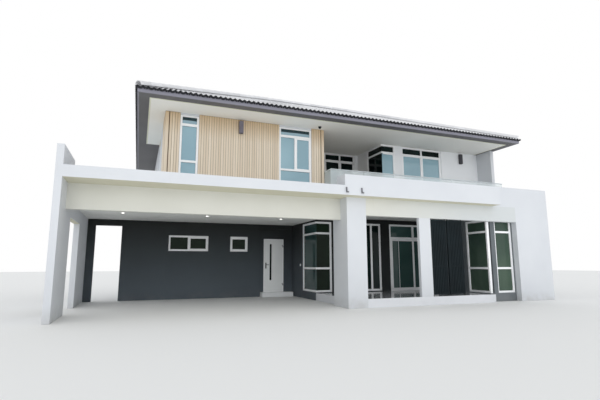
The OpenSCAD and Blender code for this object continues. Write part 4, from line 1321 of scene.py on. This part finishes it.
def glazedSlot(panel, x, low, front):
    # cuts the upright slot and returns its rim and its dark glass strip
    look = doorLook
    foot, head = low.z + look["slotFoot"], low.z + look["slotHead"]
    radius, back = look["slotWidth"] / 2, front + look["slotDeep"]
    cutter = roundStrip(x, foot, head, radius, front - look["cutterOut"], back)
    applyModifier(panel, "BOOLEAN", operation="DIFFERENCE", object=cutter, solver="EXACT")
    bpy.data.objects.remove(cutter)
    rim = roundStrip(x, foot, head, radius - look["rimGap"], front - look["rimProud"], back)
    openEdit(rim)
    pickFaces(rim, lambda c, n: n.y < -0.9)
    bpy.ops.mesh.inset(thickness=look["rimWidth"], depth=0)
    extrudeBy((0, look["rimDeep"], 0))
    closeEdit()
    near, far = [front + depth for depth in look["stripDepth"]]
    strip = roundStrip(x, foot + look["stripShort"], head - look["stripShort"],
                       radius - look["stripNarrow"], near, far)
    return [paint(rim, "handleGrey"), paint(strip, "blackGlass")]


def dressSideDoor():
    look, hinge, levers = doorLook, hingeLook, leverLook
    low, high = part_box("side_door_leaf")
    axis = Vector((high.x - hinge["radius"], low.y + hinge["radius"], 0))
    front = high.y - look["thick"]
    right = high.x - 2 * hinge["radius"] + look["hingeGap"]
    panel = roundEdges(block((low.x, front, low.z), (right, high.y, high.z)), look["edge"])
    parts = [panel] + glazedSlot(panel, low.x + look["slotIn"], low, front)
    paint(panel, "doorGrey")
    feet = [low.z + share * (high.z - low.z) - hinge["half"] for share in hinge["at"]]
    for z in feet:
        parts += hingeParts(axis, z + hinge["half"] + hinge["gap"], -hinge["plate"])
    addPiece(joinPieces("side_door_panel", parts), "side_door", "white_aluminium", "side_door_leaf")
    handleLow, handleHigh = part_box("side_door_handle")
    z = (handleLow.z + handleHigh.z) / 2
    plateX = handleLow.x + levers["plate"][0]
    handles = leverSet(plateX, front, -1, z, handleHigh.x) + leverSet(plateX, high.y, 1, z, handleHigh.x)
    addPiece(joinPieces("lever_handles", handles), "side_door", "grey_metal", "side_door_handle")
    dressSurround(front, high.y, axis, feet)


def dressSurround(front, back, axis, feet):
    # frame, stops, seal and the fixed halves of the hinges
    look = surroundLook
    low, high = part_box("side_door_frame")
    jamb = look["jamb"]
    hole = (low.x + jamb, high.x - jamb, low.z + look["sill"], high.z - jamb)
    span = (low.x, high.x)
    surround = plate(False, front, high.y, frontOf(low, high), [hole], look["edge"])
    stops = plate(False, back + look["stopGap"], high.y, hole, [shrunk(hole, look["stop"], span)],
                  look["stopEdge"])
    near, far = [back + depth for depth in look["seal"]]
    outer, inner = [shrunk(hole, inset, span) for inset in look["sealIn"]]
    parts = [paint(surround, "frameWhite"), paint(stops, "frameWhite"),
             paint(plate(False, near, far, outer, [inner]), "black")]
    for z in feet:
        parts += hingeParts(axis, z, hingeLook["plate"])
    addPiece(joinPieces("side_door_surround", parts), "house", "white_aluminium", "side_door_frame")


dressSideDoor()
print("side door ready")

# Floor, light and camera

floorLook = {"reach": 70.0, "drop": 0.002, "colour": (236, 236, 235)}
lightLook = {
    "world": 0.91, "worldColour": (0.96, 0.98, 1.0, 1.0),
    "key": {"power": 0.08, "angle": 50, "turn": (48, 0, -25)},
    "fill": {"power": 0.48, "angle": 30, "turn": (77, 0, -12)},
    "reflector": {"power": 400, "size": (20, 9), "place": (0, -12.0, 0.06), "turn": (180, 0, 0)},
}
cameraLook = {
    "place": (-5.887, -16.173, 1.226), "yaw": 21.17, "pitch": 8.80, "roll": -0.1,
    "lens": 24.91, "sensor": 36.0, "clip": 300,
}


def makeFloor():
    look = floorLook
    deselect()
    bpy.ops.mesh.primitive_plane_add(size=2 * look["reach"], location=(0, 0, -look["drop"]))
    floor = settle("studio_floor")
    material, tree, shader = startMaterial("studio_floor", 0.9)
    shader.inputs["Base Color"].default_value = toLinear(*look["colour"])
    floor.data.materials.append(material)


def makeWorld():
    # the light of the sky, with a plain white seen by the camera, in gloss and through glass
    world = bpy.data.worlds.new("studio")
    bpy.context.scene.world = world
    world.use_nodes = True
    tree = world.node_tree
    light = tree.nodes["Background"]
    setInputs(tree, light, {"Color": lightLook["worldColour"], "Strength": lightLook["world"]})
    backdrop = addNode(tree, "Background", {"Color": (1.0, 1.0, 1.0, 1.0), "Strength": 1.0})
    path = addNode(tree, "LightPath")
    seen = mathOf(tree, "MAXIMUM", path.outputs["Is Camera Ray"], path.outputs["Is Glossy Ray"])
    seen = mathOf(tree, "MAXIMUM", seen, path.outputs["Is Transmission Ray"])
    mix = addNode(tree, "MixShader", links={0: seen, 1: light.outputs[0], 2: backdrop.outputs[0]})
    tree.links.new(mix.outputs[0], tree.nodes["World Output"].inputs["Surface"])


def makeLamp(name, kind, look):
    data = bpy.data.lights.new(name, kind)
    data.energy = look["power"]
    lamp = bpy.data.objects.new(name, data)
    bpy.context.scene.collection.objects.link(lamp)
    lamp.rotation_euler = [math.radians(a) for a in look["turn"]]
    lamp.visible_glossy = False
    return data, lamp


def makeSun(name, look):
    data, lamp = makeLamp(name, "SUN", look)
    data.angle = math.radians(look["angle"])


def makeBounce(name, look):
    # a reflector board: a broad lamp near the floor that the camera doesn't see
    data, lamp = makeLamp(name, "AREA", look)
    data.shape = "RECTANGLE"
    data.size, data.size_y = look["size"]
    lamp.location = look["place"]
    lamp.visible_camera = False


def makeCamera():
    look = cameraLook
    data = bpy.data.cameras.new("street_camera")
    data.lens = look["lens"]
    data.sensor_width = look["sensor"]
    data.clip_end = look["clip"]
    camera = bpy.data.objects.new("street_camera", data)
    bpy.context.scene.collection.objects.link(camera)
    turn = (Matrix.Rotation(math.radians(-look["yaw"]), 4, "Z")
            @ Matrix.Rotation(math.radians(90 + look["pitch"]), 4, "X")
            @ Matrix.Rotation(math.radians(look["roll"]), 4, "Z"))
    camera.matrix_world = Matrix.Translation(look["place"]) @ turn
    bpy.context.scene.camera = camera


makeFloor()
makeWorld()
makeSun("soft_key", lightLook["key"])
makeSun("front_fill", lightLook["fill"])
makeBounce("reflector", lightLook["reflector"])
makeCamera()
bpy.context.scene.view_settings.view_transform = "Standard"
print("stage ready")
